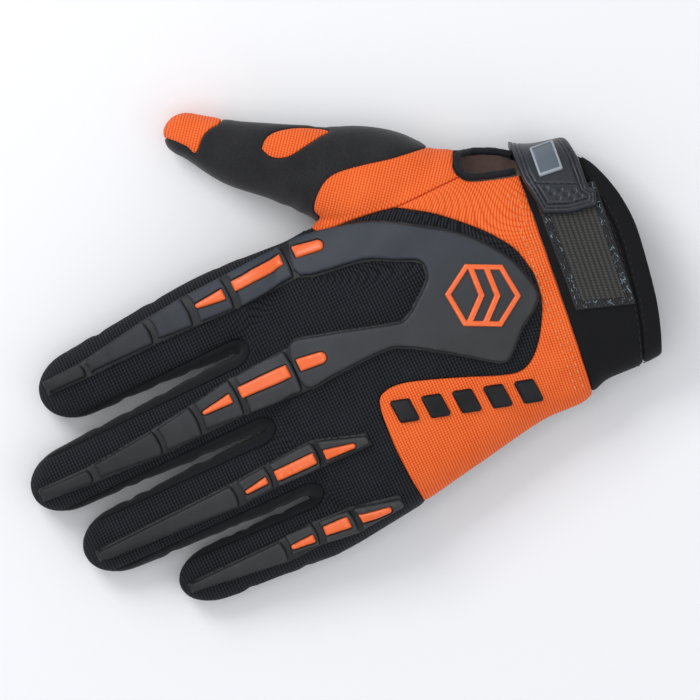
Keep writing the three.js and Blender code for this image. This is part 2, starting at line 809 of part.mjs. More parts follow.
// Along the thumb side's edge of the palm panel, round the slot's end and down the other lip
function bindingPath() {
  const end = -palmLength + 3 * bindingRadius;
  const lip = smooth(slotLip.slice(1, 7).map(onPalm), 8).filter((p) => p.y > end);
  const seat = sideSeamHeight + half + bindingRadius;
  const upperLip = lip.map(({ x, y }) => {
    const height = Math.max(topAt(palmRows, x, y) - bindingSink, seat + bindingRadius);
    return new THREE.Vector3(x, y, height);
  });
  const start = lip[0].y - bindingRadius;
  const lowerLip = [1, 0.7, 0.4, 0.1].map((part) => {
    const y = start + (end - start) * part;
    return new THREE.Vector3(thumbSideAt(y) - bindingRadius, y, seat);
  });
  return new THREE.CatmullRomCurve3([...lowerLip, ...upperLip]);
}

function roundShape(radius, sides) {
  const points = Array.from({ length: sides }, (_, i) => {
    const turn = (2 * Math.PI * i) / sides;
    return new THREE.Vector2(radius * Math.cos(turn), radius * Math.sin(turn));
  });
  return new THREE.Shape(points);
}

const bindingTube = new THREE.ExtrudeGeometry(roundShape(bindingRadius, 6), {
  steps: 16,
  extrudePath: bindingPath(),
  bevelEnabled: false,
});
add("slot_binding", solidOf(bindingTube), blackRubber);

// Closure

const patchTop = seamGap + patchThickness;
const strapTop = patchTop + seamGap + strapThickness;
const patchOutline = anticlockwise(patchEdge.map(onCuff));
const strapOutline = anticlockwise(strapEdge.map(onCuff));
const overCuff = prism(cuffOutline(hemWidth + seamGap));
const onTop = (outline) => prism(anticlockwise(outline), sideSeamHeight + strapThickness);
const patchLayer = wristLayer(seamGap, patchTop).intersect(overCuff);
add("loop_patch", patchLayer.intersect(onTop(patchOutline)), loopPile);

const strapLayer = wristLayer(seamGap, strapTop).intersect(above(strapRootHeight));
const patchRoom = palmBody(patchTop + seamGap).intersect(prism(grow(patchOutline, seamGap)));
const hemRoom = palmBody(hemRise + seamGap).subtract(overCuff);
const pullLayer = wristLayer(strapTop - pullRise, strapTop + pullRise);
const pull = pullLayer.intersect(onTop(pullEdge.map(onCuff)));
const strap = strapLayer.intersect(prism(strapOutline)).add(pull);
add("wrist_strap", strap.subtract(patchRoom).subtract(hemRoom), greyRubber);
const plateBottom = strapTop + seamGap;
const strapPlateLayer = wristLayer(plateBottom, plateBottom + plateRise);
add("strap_plate", strapPlateLayer.intersect(onTop(strapPlateEdge.map(onCuff))), silverInk);

// Armour

const baseTop = seamGap + armourBase;
const armourTop = seamGap + armourHeight;
const armourFloor = 0.46 * fingerThickness; // below every block's lowest edge
const plateFloor = 0.5 * palmThickness; // below the plate's lowest edge
const rise = (outline) => prism(outline, armourFloor);
const plateOutline = anticlockwise(plateEdge.map(onPalm));

const baseLayer = layer(seamGap, baseTop);
const blockLayer = layer(seamGap, armourTop);
const pocketFloor = grown(armourTop - barPocket);

function armour(plans, plates) {
  const reach = plates.length > 0 ? plateReach : 0;
  const bases = plans.map((d) => rise(grow(stripBase(d, armourRows[d.name], reach), skirt)));
  const blocks = plans.flatMap((d) => armourRows[d.name].map((r) => rise(blockOutline(d, r))));
  const pockets = plans.flatMap((d) =>
    barRows[d.name].map((r) => rise(grow(blockOutline(d, r), seamGap))),
  );
  const solid = joined([...blocks, ...plates.map((p) => prism(p, plateFloor))]);
  const whole = baseLayer.intersect(joined(bases)).add(blockLayer.intersect(solid));
  return whole.subtract(joined(pockets).subtract(pocketFloor));
}

add("armour_hand", armour([indexPlan, middlePlan], [plateOutline]), greyRubber);
add("armour_ring", armour([ringPlan], []), greyRubber);
add("armour_little", armour([littlePlan], []), greyRubber);

const barLayer = layer(armourTop - barPocket + seamGap, armourTop + barRise);
for (const d of fingerPlans)
  barRows[d.name].forEach((r, i) =>
    add(`bar_${d.name}_${i + 1}`, barLayer.intersect(rise(barOutline(d, r))), orangeRubber),
  );

// Emblem: a hexagon with two chevrons that reach its sides

function emblemCut() {
  const w = emblemWidth / 2;
  const h = emblemLength / 2;
  const shoulder = h / 2;
  const centre = onPalm([emblemPlace.across, emblemPlace.along]);
  const origin = new THREE.Vector2();
  const turned = (p) => flat(p).rotateAround(origin, rad(emblemPlace.turn)).add(centre);
  const rim = [[0, -h], [w, -shoulder], [w, shoulder], [0, h], [-w, shoulder], [-w, -shoulder]].map(turned);
  const chevron = (level) => {
    const thick = 1.2 * emblemLine;
    const lower = [[-w, level], [0, level - 0.42 * w], [w, level]];
    const upper = lower.map(([x, y]) => [x, y + thick]).reverse();
    return prism([...lower, ...upper].map(turned), plateFloor);
  };
  const inside = prism(grow(rim, -emblemLine), plateFloor);
  const within = prism(grow(rim, -emblemLine / 2), plateFloor);
  const chevrons = joined([0.3 * h, -0.12 * h].map(chevron)).intersect(within);
  return prism(rim, plateFloor).subtract(inside).add(chevrons);
}

const emblemBottom = armourTop + seamGap;
add("emblem", layer(emblemBottom, emblemBottom + emblemRise).intersect(emblemCut()), orangeRubber);

// Side bars, leaning along their row

const sideLayer = layer(seamGap, seamGap + sideBarRise);
const firstBar = onPalm(sideBars.first);
const lastBar = onPalm(sideBars.last);
const rowLean = Math.atan2(lastBar.x - firstBar.x, firstBar.y - lastBar.y);
for (let i = 0; i < sideBars.count; i++) {
  const centre = firstBar.clone().lerp(lastBar, i / (sideBars.count - 1));
  const [w, h, skew] = [sideBarWidth / 2, sideBarLength / 2, sideBars.skew / 2];
  const corners = [[-w, -h - skew], [w, -h + skew], [w, h + skew], [-w, h - skew]];
  const outline = corners.map((p) => flat(p).rotateAround(new THREE.Vector2(), rowLean).add(centre));
  add(`side_bar_${i + 1}`, sideLayer.intersect(onTop(outline)), blackRubber);
}

// The origin goes to the middle of the box's bottom.
const box = new THREE.Box3().setFromObject(glove);
const middle = box.getCenter(new THREE.Vector3());
glove.position.set(-middle.x, -middle.y, -box.min.z);
const placed = new THREE.Group();
placed.add(glove);
export default placed;
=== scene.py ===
import math

import bpy
import numpy as np
from numpy import concatenate as join
from mathutils import Matrix, Vector
from mathutils.bvhtree import BVHTree
from mathutils.kdtree import KDTree


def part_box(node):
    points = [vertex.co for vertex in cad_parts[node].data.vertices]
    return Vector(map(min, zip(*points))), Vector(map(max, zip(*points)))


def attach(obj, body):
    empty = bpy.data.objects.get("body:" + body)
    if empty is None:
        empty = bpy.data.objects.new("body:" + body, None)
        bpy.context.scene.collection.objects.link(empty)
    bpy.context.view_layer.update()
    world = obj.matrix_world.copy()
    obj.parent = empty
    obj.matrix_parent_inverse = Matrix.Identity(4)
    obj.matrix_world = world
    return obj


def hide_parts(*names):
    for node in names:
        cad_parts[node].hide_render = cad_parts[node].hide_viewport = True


# A left motocross glove, lying palm down. The glove is shaped in millimetres in the palm's frame:
# +Y runs along the fingers, +X is the thumb's side, and the knuckle line is at y = 0.
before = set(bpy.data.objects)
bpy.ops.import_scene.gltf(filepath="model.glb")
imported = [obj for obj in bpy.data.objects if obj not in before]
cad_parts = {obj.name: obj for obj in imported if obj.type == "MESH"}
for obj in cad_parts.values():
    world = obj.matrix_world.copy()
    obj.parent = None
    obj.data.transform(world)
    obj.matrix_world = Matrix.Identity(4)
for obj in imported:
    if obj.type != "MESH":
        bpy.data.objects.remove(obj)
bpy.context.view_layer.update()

# Sizes of the hand, as the frame's source has them

SEAM_GAP = 0.4
PALM_LENGTH, PALM_THICKNESS, PALM_DIP, PALM_SQUEEZE = 85, 36, 3, 3
SIDE_SEAM = 14.3
WEB_REACH, WEB_ROUND = 31, 8
FINGER_LENGTH, FINGER_WIDTH, FINGER_THICKNESS, FINGER_GAP = 125, 28, 26, 1
FAN_REACH, FAN_SHIFT = 45, -4.9
TIP_ROUND, THUMB_TIP_ROUND = 16, 9
THUMB_LENGTH, THUMB_WIDTH, THUMB_THICKNESS = 98, 38, 31
THUMB_ROOT, THUMB_LEAN = (0.486, 0.39), 32.8
CUFF_LENGTH, HEM_WIDTH = 33.5, 7
BINDING_RADIUS = 1.2
SQUARENESS = 2.5
FAR = 400

# name, length, width, thickness, root width, tip width, root's place and lean, as shares of the
# middle finger's sizes, of the finger's own width and of FINGER_LENGTH, and degrees
FINGERS = [
    ("index", 0.884, 1.09, 1.0, 0.8, 0.8, 0.045, 7.2),
    ("middle", 1.0, 1.0, 1.03, 0.95, 0.82, 0.05, 6.5),
    ("ring", 0.934, 0.975, 1.0, 0.95, 0.86, 0.072, 5.6),
    ("little", 0.741, 0.785, 0.88, 0.6, 0.93, 0.112, 4),
]

# along, weight of the root's width, weight of the tip's width, top, bottom
FINGER_SECTIONS = [
    (0.0, 1.0, 0.0, 0.85, 0.3),
    (0.18, 0.55, 0.0, 1.1, -0.02),
    (0.46, 0.0, 0.0, 1.0, 0.08),
    (0.64, 0.0, 0.35, 0.89, 0.09),
    (0.82, 0.0, 0.7, 0.79, 0.05),
    (1.0, 0.0, 1.0, 0.68, -0.04),
]
SEAM_TURN = 0.5  # of a finger's length, past which its side seam leaves the palm's height

# along, outer side, inner side, top, bottom
THUMB_SECTIONS = [
    (0.0, 0.42, 0.4, 0.98, -0.08),
    (0.17, 0.51, 0.52, 1.04, -0.06),
    (0.35, 0.477, 0.525, 1.0, -0.03),
    (0.46, 0.405, 0.455, 0.95, 0.02),
    (0.6, 0.345, 0.395, 0.87, 0.05),
    (0.84, 0.25, 0.335, 0.75, 0.02),
    (1.0, 0.225, 0.2, 0.62, -0.03),
]

# place, little finger's side, thumb's side, top
CUFF_SECTIONS = [
    (1.27, 0.25, 0.465, 0.9),
    (0.56, 0.275, 0.487, 0.92),
    (0.08, 0.298, 0.518, 0.93),
]
PALM_SECTIONS = [
    (0.04, 0.326, 0.554, 0.93),
    (0.22, 0.342, 0.602, 0.97),
    (0.41, 0.38, 0.647, 1.01),
    (0.6, 0.422, 0.61, 1.02),
    (0.82, 0.472, 0.532, 1.02),
    (1.04, 0.5, 0.494, 0.96),
]
FRONT_SECTIONS = [
    (0.4, 0.47, 0.486, 0.88),
    (0.75, 0.335, 0.472, 0.76),
]

ROW_WIDTH = sum(f[2] * FINGER_WIDTH for f in FINGERS) + (len(FINGERS) - 1) * FINGER_GAP
PALM_WIDTH = ROW_WIDTH - PALM_SQUEEZE

# Seam lines: shares of the palm's width from its middle line, and of its length from the wrist

BACK_SEAM = [
    (0.56, 0.93), (0.51, 0.9), (0.492, 0.85), (0.492, 0.706), (0.485, 0.541), (0.421, 0.394),
    (0.338, 0.253), (0.264, 0.159), (0.199, 0.106), (0.116, 0.079), (0.032, 0.085), (-0.051, 0.124),
    (-0.125, 0.182), (-0.165, 0.253), (-0.16, 0.341), (-0.13, 0.471), (-0.097, 0.624), (-0.076, 0.753),
    (-0.083, 0.835), (-0.12, 0.873), (-0.236, 0.873), (-0.356, 0.856), (-0.477, 0.826), (-0.65, 0.79),
]
BACK_PEAK = 4
SUEDE_SEAM = [
    (0.53, 0.95), (0.53, 0.862), (0.56, 0.872), (0.597, 0.847), (0.637, 0.794), (0.656, 0.73),
    (0.653, 0.612), (0.643, 0.494), (0.642, 0.388), (0.646, 0.294), (0.68, 0.2),
]
GUSSET_SEAM = [(0.47, 1.1), (0.474, 0.7), (0.484, 0.541), (0.497, 0.388), (0.516, 0.2)]
SLOT_LIP = [
    (0.64, 0.19), (0.58, 0.218), (0.541, 0.235), (0.51, 0.218), (0.494, 0.18), (0.476, 0.082),
    (0.468, 0.012), (0.46, -0.1), (0.455, -0.3),
]
PLATE_EDGE = [
    (0.482, 1.006), (0.483, 0.882), (0.468, 0.699), (0.434, 0.571), (0.357, 0.382), (0.279, 0.247),
    (0.185, 0.149), (0.07, 0.094), (0.019, 0.127), (-0.029, 0.202), (-0.107, 0.292), (-0.107, 0.353),
    (-0.047, 0.488), (0.032, 0.684), (0.046, 0.789), (0.024, 1.0), (0.016, 1.135), (0.162, 1.141),
    (0.159, 1.0), (0.122, 0.736), (0.122, 0.647), (0.202, 0.533), (0.244, 0.504), (0.286, 0.518),
    (0.315, 0.608), (0.351, 0.744), (0.368, 1.009),
]

# The cuff's open end and what lies on the cuff: shares of the palm's width and the cuff's length
CUFF_END = [
    (0.75, 0.0), (0.62, 0.253), (0.53, 0.505), (0.47, 0.619), (0.413, 0.773), (0.32, 0.907),
    (0.227, 0.98), (0.134, 1.0), (-0.051, 0.965), (-0.16, 0.914), (-0.264, 0.833), (-0.4, 0.707),
]
PATCH_EDGE = [(0.357, 0.071), (0.351, 0.739), (-0.079, 0.726), (-0.035, 0.099)]

# Panels on the thumb: shares of its length and, to the side, of its width
THUMB_TIP_SEAM = [
    (0.79, 0.4), (0.804, 0.211), (0.832, 0.132), (0.854, 0.024), (0.859, -0.1), (0.872, -0.15),
    (0.909, -0.1), (1.0, -0.07), (1.2, -0.07),
]
THUMB_PATCH_EDGE = [
    (0.634, 0.046), (0.628, 0.165), (0.593, 0.258), (0.523, 0.335), (0.438, 0.375), (0.41, 0.37),
    (0.44, 0.29), (0.488, 0.147), (0.536, 0.027), (0.591, -0.008),
]

# Armour blocks and inlaid bars: near, far, near left, near right, far left, far right, as shares
# of the finger's length and width
ARMOUR_ROWS = {
    "index": [
        (0.828, 0.958, 0.02, 0.17, 0.04, 0.16),
        (0.583, 0.812, 0.02, 0.29, 0.04, 0.16),
        (0.442, 0.563, 0.0, 0.33, 0.04, 0.29),
        (0.297, 0.416, -0.03, 0.34, 0.0, 0.33),
        (0.080, 0.274, -0.02, 0.35, -0.05, 0.34),
    ],
    "middle": [
        (0.821, 0.969, -0.17, 0.0, -0.10, 0.01),
        (0.604, 0.799, -0.23, 0.08, -0.15, 0.02),
        (0.479, 0.590, -0.22, 0.15, -0.21, 0.08),
        (0.344, 0.463, -0.22, 0.24, -0.18, 0.17),
        (0.163, 0.326, -0.28, 0.28, -0.23, 0.24),
    ],
    "ring": [
        (0.498, 0.955, -0.24, 0.04, -0.13, -0.03),
        (0.380, 0.475, -0.21, 0.08, -0.23, 0.05),
        (0.216, 0.365, -0.22, 0.12, -0.22, 0.09),
        (0.058, 0.199, -0.21, -0.09, -0.22, 0.11),
    ],
    "little": [
        (0.569, 0.956, -0.26, 0.05, -0.12, -0.02),
        (0.430, 0.549, -0.22, 0.11, -0.20, 0.11),
        (0.275, 0.405, -0.27, 0.10, -0.25, 0.10),
        (0.083, 0.256, -0.16, -0.03, -0.25, 0.12),
    ],
}
BAR_ROWS = {
    "index": [
        (0.305, 0.407, 0.10, 0.22, 0.16, 0.19),
        (0.089, 0.269, 0.14, 0.26, 0.13, 0.24),
        (-0.054, 0.044, 0.12, 0.20, 0.14, 0.27),
    ],
    "middle": [
        (0.356, 0.450, -0.03, 0.09, -0.01, 0.03),
        (0.171, 0.328, -0.06, 0.11, -0.03, 0.11),
        (0.058, 0.140, -0.05, 0.05, -0.05, 0.12),
    ],
    "ring": [
        (0.386, 0.462, -0.13, -0.04, -0.14, -0.09),
        (0.222, 0.357, -0.15, -0.01, -0.15, -0.02),
        (0.093, 0.188, -0.175, -0.115, -0.17, -0.03),
    ],
    "little": [
        (0.437, 0.537, -0.16, -0.04, -0.14, -0.07),
        (0.287, 0.392, -0.16, 0.01, -0.14, 0.0),
        (0.123, 0.244, -0.13, -0.06, -0.16, 0.0),
    ],
}

# Strap, in shares of the palm's width and of the cuff's length
STRAP_EDGE = [
    (0.434, 0.015), (0.303, 0.099), (0.277, 0.367), (0.27, 0.677), (0.32, 0.72), (0.343, 0.654),
    (0.446, 0.652), (0.511, 0.611),
]
STRAP_ROOT = [(0.536, 0.49), (0.56, -0.01)]  # where it passes over the side: across, past
STRAP_PLATE_EDGE = [(0.425, 0.193), (0.527, 0.193), (0.527, 0.46), (0.425, 0.46)]
STRAP_ROOT_HEIGHT = 6

EMBLEM_PLACE, EMBLEM_TURN = (0.112, 0.315), -20
EMBLEM_SIZE, EMBLEM_LINE = (22, 27), 1.9
SIDE_BARS = [(-0.165, 0.78), (-0.238, 0.26)]  # the first one's middle and the last one's
SIDE_BAR_COUNT, SIDE_BAR_SIZE, SIDE_BAR_SKEW = 5, (8.5, 7.5), 3

RIB_PITCH = 1.75  # of the loop patch
PATCH_BORDER = 3.0

# Finish of the cloth
TUBE_STEP, CAP_RINGS = 1.6, 12
VOXEL = 1.0
WALL = 1.7
CUFF_WALL = 2.6
ROLL = 0.75  # how deep a panel's edge turns in at a seam
ROLL_WIDTH = 1.7
SCRAP_FACES = 60

# The origin in the palm's frame, from the loop patch and the wrist seam
PATCH_RIGHT = PATCH_EDGE[0][0] * PALM_WIDTH
MM = 0.001
SHIFT_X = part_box("loop_patch")[1].x / MM - PATCH_RIGHT
SHIFT_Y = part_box("wrist_panel")[0].y / MM + PALM_LENGTH - SEAM_GAP / 2
SHIFT = np.array([SHIFT_X, SHIFT_Y, 0.0])


# Plan geometry


def on_palm(shares):
    return (np.array(shares, float) - (0, 1)) * (PALM_WIDTH, PALM_LENGTH)


def on_cuff(shares):
    return np.array(shares, float) * (PALM_WIDTH, -CUFF_LENGTH) - (0, PALM_LENGTH)


def smooth(points, steps=6):
    """A Catmull-Rom line through points, with steps pieces between two of them."""
    p = join([points[:1], points, points[-1:]])
    t = np.linspace(0, 1, steps, endpoint=False)[:, None]
    pieces = []
    for a, b, c, d in zip(p, p[1:], p[2:], p[3:]):
        bend = (2 * a - 5 * b + 4 * c - d) * t**2 + (3 * b - a - 3 * c + d) * t**3
        pieces.append(b + ((c - a) * t + bend) / 2)
    return join([*pieces, points[-1:]])


def length_along(line):
    return join([[0], np.cumsum(np.linalg.norm(np.diff(line, axis=0), axis=1))])


def spaced(line, marks):
    """Points at the given lengths along a line."""
    return np.stack([np.interp(marks, length_along(line), column) for column in line.T], 1)


def paced(line, pace):
    return spaced(line, np.arange(0, length_along(line)[-1], pace))


def smooth_loop(points):
    return smooth(join([points, points[:1]]), 4)[:-1]


def inside(xy, outline):
    """Distance of plan points from an outline, positive inside it."""
    a, b = outline, np.roll(outline, -1, axis=0)
    step = b - a
    found = np.empty(len(xy))
    for start in range(0, len(xy), 20000):
        p = xy[start : start + 20000, None, :]
        t = ((p - a) * step).sum(2) / (step * step).sum(1)
        near = a + np.clip(t, 0, 1)[..., None] * step
        away = np.sqrt(((p - near) ** 2).sum(2)).min(1)
        over = (a[:, 1] > p[..., 1]) != (b[:, 1] > p[..., 1])
        rise = np.where(step[:, 1] == 0, 1e-9, step[:, 1])
        cross = a[:, 0] + (p[..., 1] - a[:, 1]) / rise * step[:, 0]
        odd = (over & (p[..., 0] < cross)).sum(1) % 2 == 1
        found[start : start + 20000] = np.where(odd, away, -away)
    return found


def ease(t):
    t = np.clip(t, 0, 1)
    return t * t * (3 - 2 * t)


def bell(offset, width):
    return np.exp(-((offset / width) ** 2))


def unit(vectors):
    return vectors / np.maximum(np.linalg.norm(vectors, axis=-1, keepdims=True), 1e-12)


# Triangle meshes: points hold x, y, z and the weave's two coordinates


def split(points, faces, field, level):
    """Cuts the triangles that the line field = level crosses."""
    g = field - level
    g = np.where(np.abs(g) < 1e-6, 1e-6, g)
    up = g[faces] > 0
    count = up.sum(1)
    mixed = (count == 1) | (count == 2)
    lone = np.where(count[mixed] == 1, up[mixed].argmax(1), (~up[mixed]).argmax(1))
    turned = np.take_along_axis(faces[mixed], (lone[:, None] + np.arange(3)) % 3, 1)
    a, b, c = turned.T
    pairs = np.sort(join([np.stack([a, b], 1), np.stack([a, c], 1)]), 1)
    edges, place = np.unique(pairs, axis=0, return_inverse=True)
    place = place.ravel()
    i, j = edges.T
    t = (g[i] / (g[i] - g[j]))[:, None]
    p = len(points) + place[: len(a)]
    q = len(points) + place[len(a) :]
    points = join([points, points[i] + t * (points[j] - points[i])])
    field = join([field, np.full(len(edges), float(level))])
    made = [np.stack(f, 1) for f in ((a, p, q), (p, b, c), (p, c, q))]
    return points, join([faces[~mixed], *made]), field


def pick(points, faces, chosen):
    used, place = np.unique(faces[chosen], return_inverse=True)
    return points[used], place.reshape(-1, 3)


def cut(mesh, field, gap=0.15):
    """The part where field is positive and the part where it is negative, with a gap between."""
    points, faces = mesh
    f = field(points)
    points, faces, f = split(points, faces, f, gap)
    points, faces, f = split(points, faces, f, -gap)
    middle = f[faces].mean(1)
    return pick(points, faces, middle > gap), pick(points, faces, middle < -gap)


def normals_of(points, faces):
    a, b, c = points[faces, :3].transpose(1, 0, 2)
    face = np.cross(b - a, c - a)
    total = np.zeros((len(points), 3))
    for k in range(3):
        np.add.at(total, faces[:, k], face)
    return unit(total)


def rim_edges(faces):
    """The directed edges that only one triangle has."""
    edges = join([faces[:, [0, 1]], faces[:, [1, 2]], faces[:, [2, 0]]])
    _, place, count = np.unique(np.sort(edges, 1), axis=0, return_inverse=True, return_counts=True)
    return edges[count[place.ravel()] == 1]


def rim_distance(points, faces):
    rim = points[rim_edges(faces), :3]
    marks = join([rim[:, 0] + (rim[:, 1] - rim[:, 0]) * t for t in (0, 0.33, 0.67)])
    tree = KDTree(len(marks))
    for i, p in enumerate(marks):
        tree.insert(p, i)
    tree.balance()
    return np.array([tree.find(p)[2] for p in points[:, :3]])


def thicken(outer, inner, faces):
    """A closed solid between two faces, and which of its faces are the inner ones."""
    n = len(outer)
    a, b = rim_edges(faces).T
    sides = join([np.stack([b, a, a + n], 1), np.stack([b, a + n, b + n], 1)])
    marks = np.repeat([0, 1, 0], [len(faces), len(faces), len(sides)])
    return join([outer, inner]), join([faces, faces[:, ::-1] + n, sides]), marks


def turns_of(sides):
    return np.linspace(0, 2 * math.pi, sides, endpoint=False)


def circles(side, up, sides):
    """A unit circle of points across each pair of directions."""
    turns = turns_of(sides)[:, None]
    return side[:, None] * np.cos(turns) + up[:, None] * np.sin(turns)


def tube_faces(rings, sides):
    """Triangles of rings of points, one after another, with flat ends."""
    r, s = np.meshgrid(np.arange(rings - 1), np.arange(sides), indexing="ij")
    a, b = (r * sides + s).ravel(), (r * sides + (s + 1) % sides).ravel()
    fan = np.arange(1, sides - 1)
    last = (rings - 1) * sides
    faces = [(a, a + sides, b), (b, a + sides, b + sides), (0 * fan, fan, fan + 1)]
    faces.append((0 * fan + last, last + fan + 1, last + fan))
    return join([np.stack(f, 1) for f in faces])


# Digits and palm


def rotated(xy, angle):
    c, s = math.cos(angle), math.sin(angle)
    return xy @ np.array([[c, s], [-s, c]])


class Digit:
    def __init__(self, name, root, lean, width, length, cap, sections):
        self.name, self.root, self.lean = name, np.array(root, float), lean
        self.width, self.length, self.cap = width, length, cap
        self.sections = sections  # along, left, right, bottom, top

    def place(self, along, side):
        """Plan points from mm along the digit and mm to its thumb side."""
        return rotated(np.stack([side, along], -1), self.lean) + self.root

    def local(self, xy):
        back = rotated(xy - self.root, -self.lean)
        return back[:, 1], back[:, 0]


def finger_digits():
    digits, before = [], 0.0
    along, root_part, tip_part, top, bottom = np.array(FINGER_SECTIONS).T
    for name, length, width, thick, root, tip, back, lean in FINGERS:
        wide, tall, total = width * FINGER_WIDTH, thick * FINGER_THICKNESS, length * FINGER_LENGTH
        lean, root_y = math.radians(lean), -back * FINGER_LENGTH
        across = ROW_WIDTH / 2 + FAN_SHIFT - before - wide / 2 + math.tan(lean) * (FAN_REACH - root_y)
        before += wide + FINGER_GAP
        half = wide * (1 + root_part * (root - 1) + tip_part * (tip - 1)) / 2
        rows = np.stack([along * (total - TIP_ROUND), -half, half, bottom * tall, top * tall], 1)
        digits.append(Digit(name, (across, root_y), lean, wide, total, TIP_ROUND, rows))
    return digits


def thumb_digit():
    along, outer, inner, top, bottom = np.array(THUMB_SECTIONS).T
    sizes = [THUMB_LENGTH - THUMB_TIP_ROUND, *[THUMB_WIDTH] * 2, *[THUMB_THICKNESS] * 2]
    rows = np.stack([along, -inner, outer, bottom, top], 1) * sizes
    root, lean = on_palm([THUMB_ROOT])[0], -math.radians(THUMB_LEAN)
    return Digit("thumb", root, lean, THUMB_WIDTH, THUMB_LENGTH, THUMB_TIP_ROUND, rows)


def on_thumb(shares):
    along, side = np.array(shares).T
    return thumb.place(along * THUMB_LENGTH, side * THUMB_WIDTH)


def palm_sections():
    """Rows of place, left, right, bottom and top, from the cuff's open end to the webs."""
    cuff, palm, front = map(np.array, (CUFF_SECTIONS, PALM_SECTIONS, FRONT_SECTIONS))
    places = [-PALM_LENGTH - cuff[:, 0] * CUFF_LENGTH, (palm[:, 0] - 1) * PALM_LENGTH]
    places.append(front[:, 0] * WEB_REACH)
    left, right, top = join([cuff, palm, front])[:, 1:].T
    sides = [-left * PALM_WIDTH, right * PALM_WIDTH, 0 * top - PALM_DIP, top * PALM_THICKNESS]
    return np.stack([join(places), *sides], 1)


def between(sections, along):
    """Sections at the given places, on smooth curves through the table's."""
    x, y = sections[:, 0], sections[:, 1:]
    slope = np.gradient(y, x, axis=0)
    i = np.clip(np.searchsorted(x, along) - 1, 0, len(x) - 2)
    h = (x[i + 1] - x[i])[:, None]
    t = ((along - x[i])[:, None]) / h
    near, far = y[i], y[i + 1]
    a = (1 + 2 * t) * (1 - t) ** 2 * near + t**2 * (3 - 2 * t) * far
    return a + h * (t * (1 - t) ** 2 * slope[i] + t**2 * (t - 1) * slope[i + 1])


def ring_points(left, right, bottom, top, turns):
    c, s = np.cos(turns), np.sin(turns)
    across = np.sign(c) * np.abs(c) ** (2 / SQUARENESS)
    height = np.sign(s) * np.abs(s) ** (2 / SQUARENESS)
    x = (left + right)[:, None] / 2 + (right - left)[:, None] / 2 * across
    z = (bottom + top)[:, None] / 2 + (top - bottom)[:, None] / 2 * height
    return x, z


def tube(sections, cap, sides=72):
    """The closed skin through sections with a round end, as points and triangles."""
    start, stop = sections[[0, -1], 0]
    along = np.linspace(start, stop, int((stop - start) / TUBE_STEP))
    rows = between(sections, along)
    turn = np.linspace(0, math.radians(86), CAP_RINGS)[1:]
    middle = np.repeat(rows[-1].reshape(2, 2).mean(1), 2)
    rows = join([rows, middle + (rows[-1] - middle) * np.cos(turn)[:, None]])
    along = join([along, stop + cap * np.sin(turn)])
    x, z = ring_points(*rows.T, turns_of(sides))
    points = np.stack([x, np.repeat(along[:, None], sides, 1), z], -1).reshape(-1, 3)
    return points, tube_faces(len(along), sides)


fingers = finger_digits()
thumb = thumb_digit()
digits = [*fingers, thumb]
palm_rows = palm_sections()


def placed(name, data):
    thing = bpy.data.objects.new(name, data)
    bpy.context.scene.collection.objects.link(thing)
    return thing


def blender_mesh(name, points, faces):
    mesh = bpy.data.meshes.new(name)
    mesh.vertices.add(len(points))
    mesh.vertices.foreach_set("co", np.asarray(points, np.float32).ravel())
    mesh.loops.add(faces.size)
    mesh.loops.foreach_set("vertex_index", faces.ravel().astype(np.int32))
    mesh.polygons.add(len(faces))
    mesh.polygons.foreach_set("loop_start", np.arange(0, faces.size, 3, dtype=np.int32))
    mesh.update(calc_edges=True)
    return mesh


SPREAD = 3.2  # how much wider the gaps between the fingers are while the skin is made
SPREAD_START, SPREAD_BLEND = 20, 9
SOLE_SOFTNESS = 0.8  # how gently the underside turns flat on the surface


def spread_of(xy, spread_yet):
    """How far to the side plan points go as the gaps between the fingers grow."""
    y = xy[:, 1]
    part = ease((y - SPREAD_START) / SPREAD_BLEND)
    knots, shifts = [], []
    for i, d in enumerate(fingers[::-1]):
        shift = (i - 1.5) * SPREAD * part
        middle = d.root[0] - math.tan(d.lean) * (y - d.root[1])
        half = d.width / 2 / math.cos(d.lean)
        for edge in (middle - half, middle + half):
            knots.append(edge + shift * spread_yet)
            shifts.append(shift)
    knots, shifts = np.stack(knots, 1), np.stack(shifts, 1)
    return np.array([np.interp(x, k, f) for x, k, f in zip(xy[:, 0], knots, shifts)])


def hand_skin():
    """The glove's outer skin as one smooth closed surface, before its seams and folds."""
    parts = [tube(palm_rows, WEB_ROUND, 120)]
    for d in digits:
        points, faces = tube(d.sections, d.cap)
        points[:, :2] = d.place(points[:, 1], points[:, 0])
        parts.append((points, faces))
    for points, _ in parts[:-1]:
        points[:, 0] += spread_of(points[:, :2], False)
    points = join([p for p, _ in parts])
    firsts = np.cumsum([0, *[len(p) for p, _ in parts]])
    faces = join([f + first for (_, f), first in zip(parts, firsts)])
    form = placed("skin", blender_mesh("skin", points, faces))
    remesh = form.modifiers.new("remesh", "REMESH")
    remesh.mode, remesh.voxel_size = "VOXEL", VOXEL
    relax = form.modifiers.new("relax", "SMOOTH")
    relax.factor, relax.iterations = 0.5, 7
    form.modifiers.new("triangles", "TRIANGULATE")
    made = form.evaluated_get(bpy.context.evaluated_depsgraph_get()).to_mesh()
    points = np.empty(len(made.vertices) * 3, np.float32)
    made.vertices.foreach_get("co", points)
    faces = np.empty(len(made.polygons) * 3, np.int32)
    made.polygons.foreach_get("vertices", faces)
    bpy.data.objects.remove(form)
    points = points.reshape(-1, 3).astype(float)
    off_thumb = thumb.local(points[:, :2])[1] < -0.6 * THUMB_WIDTH
    points[:, 0] -= spread_of(points[:, :2], True) * off_thumb
    points[:, 2] = (points[:, 2] + np.hypot(points[:, 2], SOLE_SOFTNESS)) / 2
    points[:, 2] -= points[:, 2].min()
    return points, faces.reshape(-1, 3)


# Weave coordinates and folds


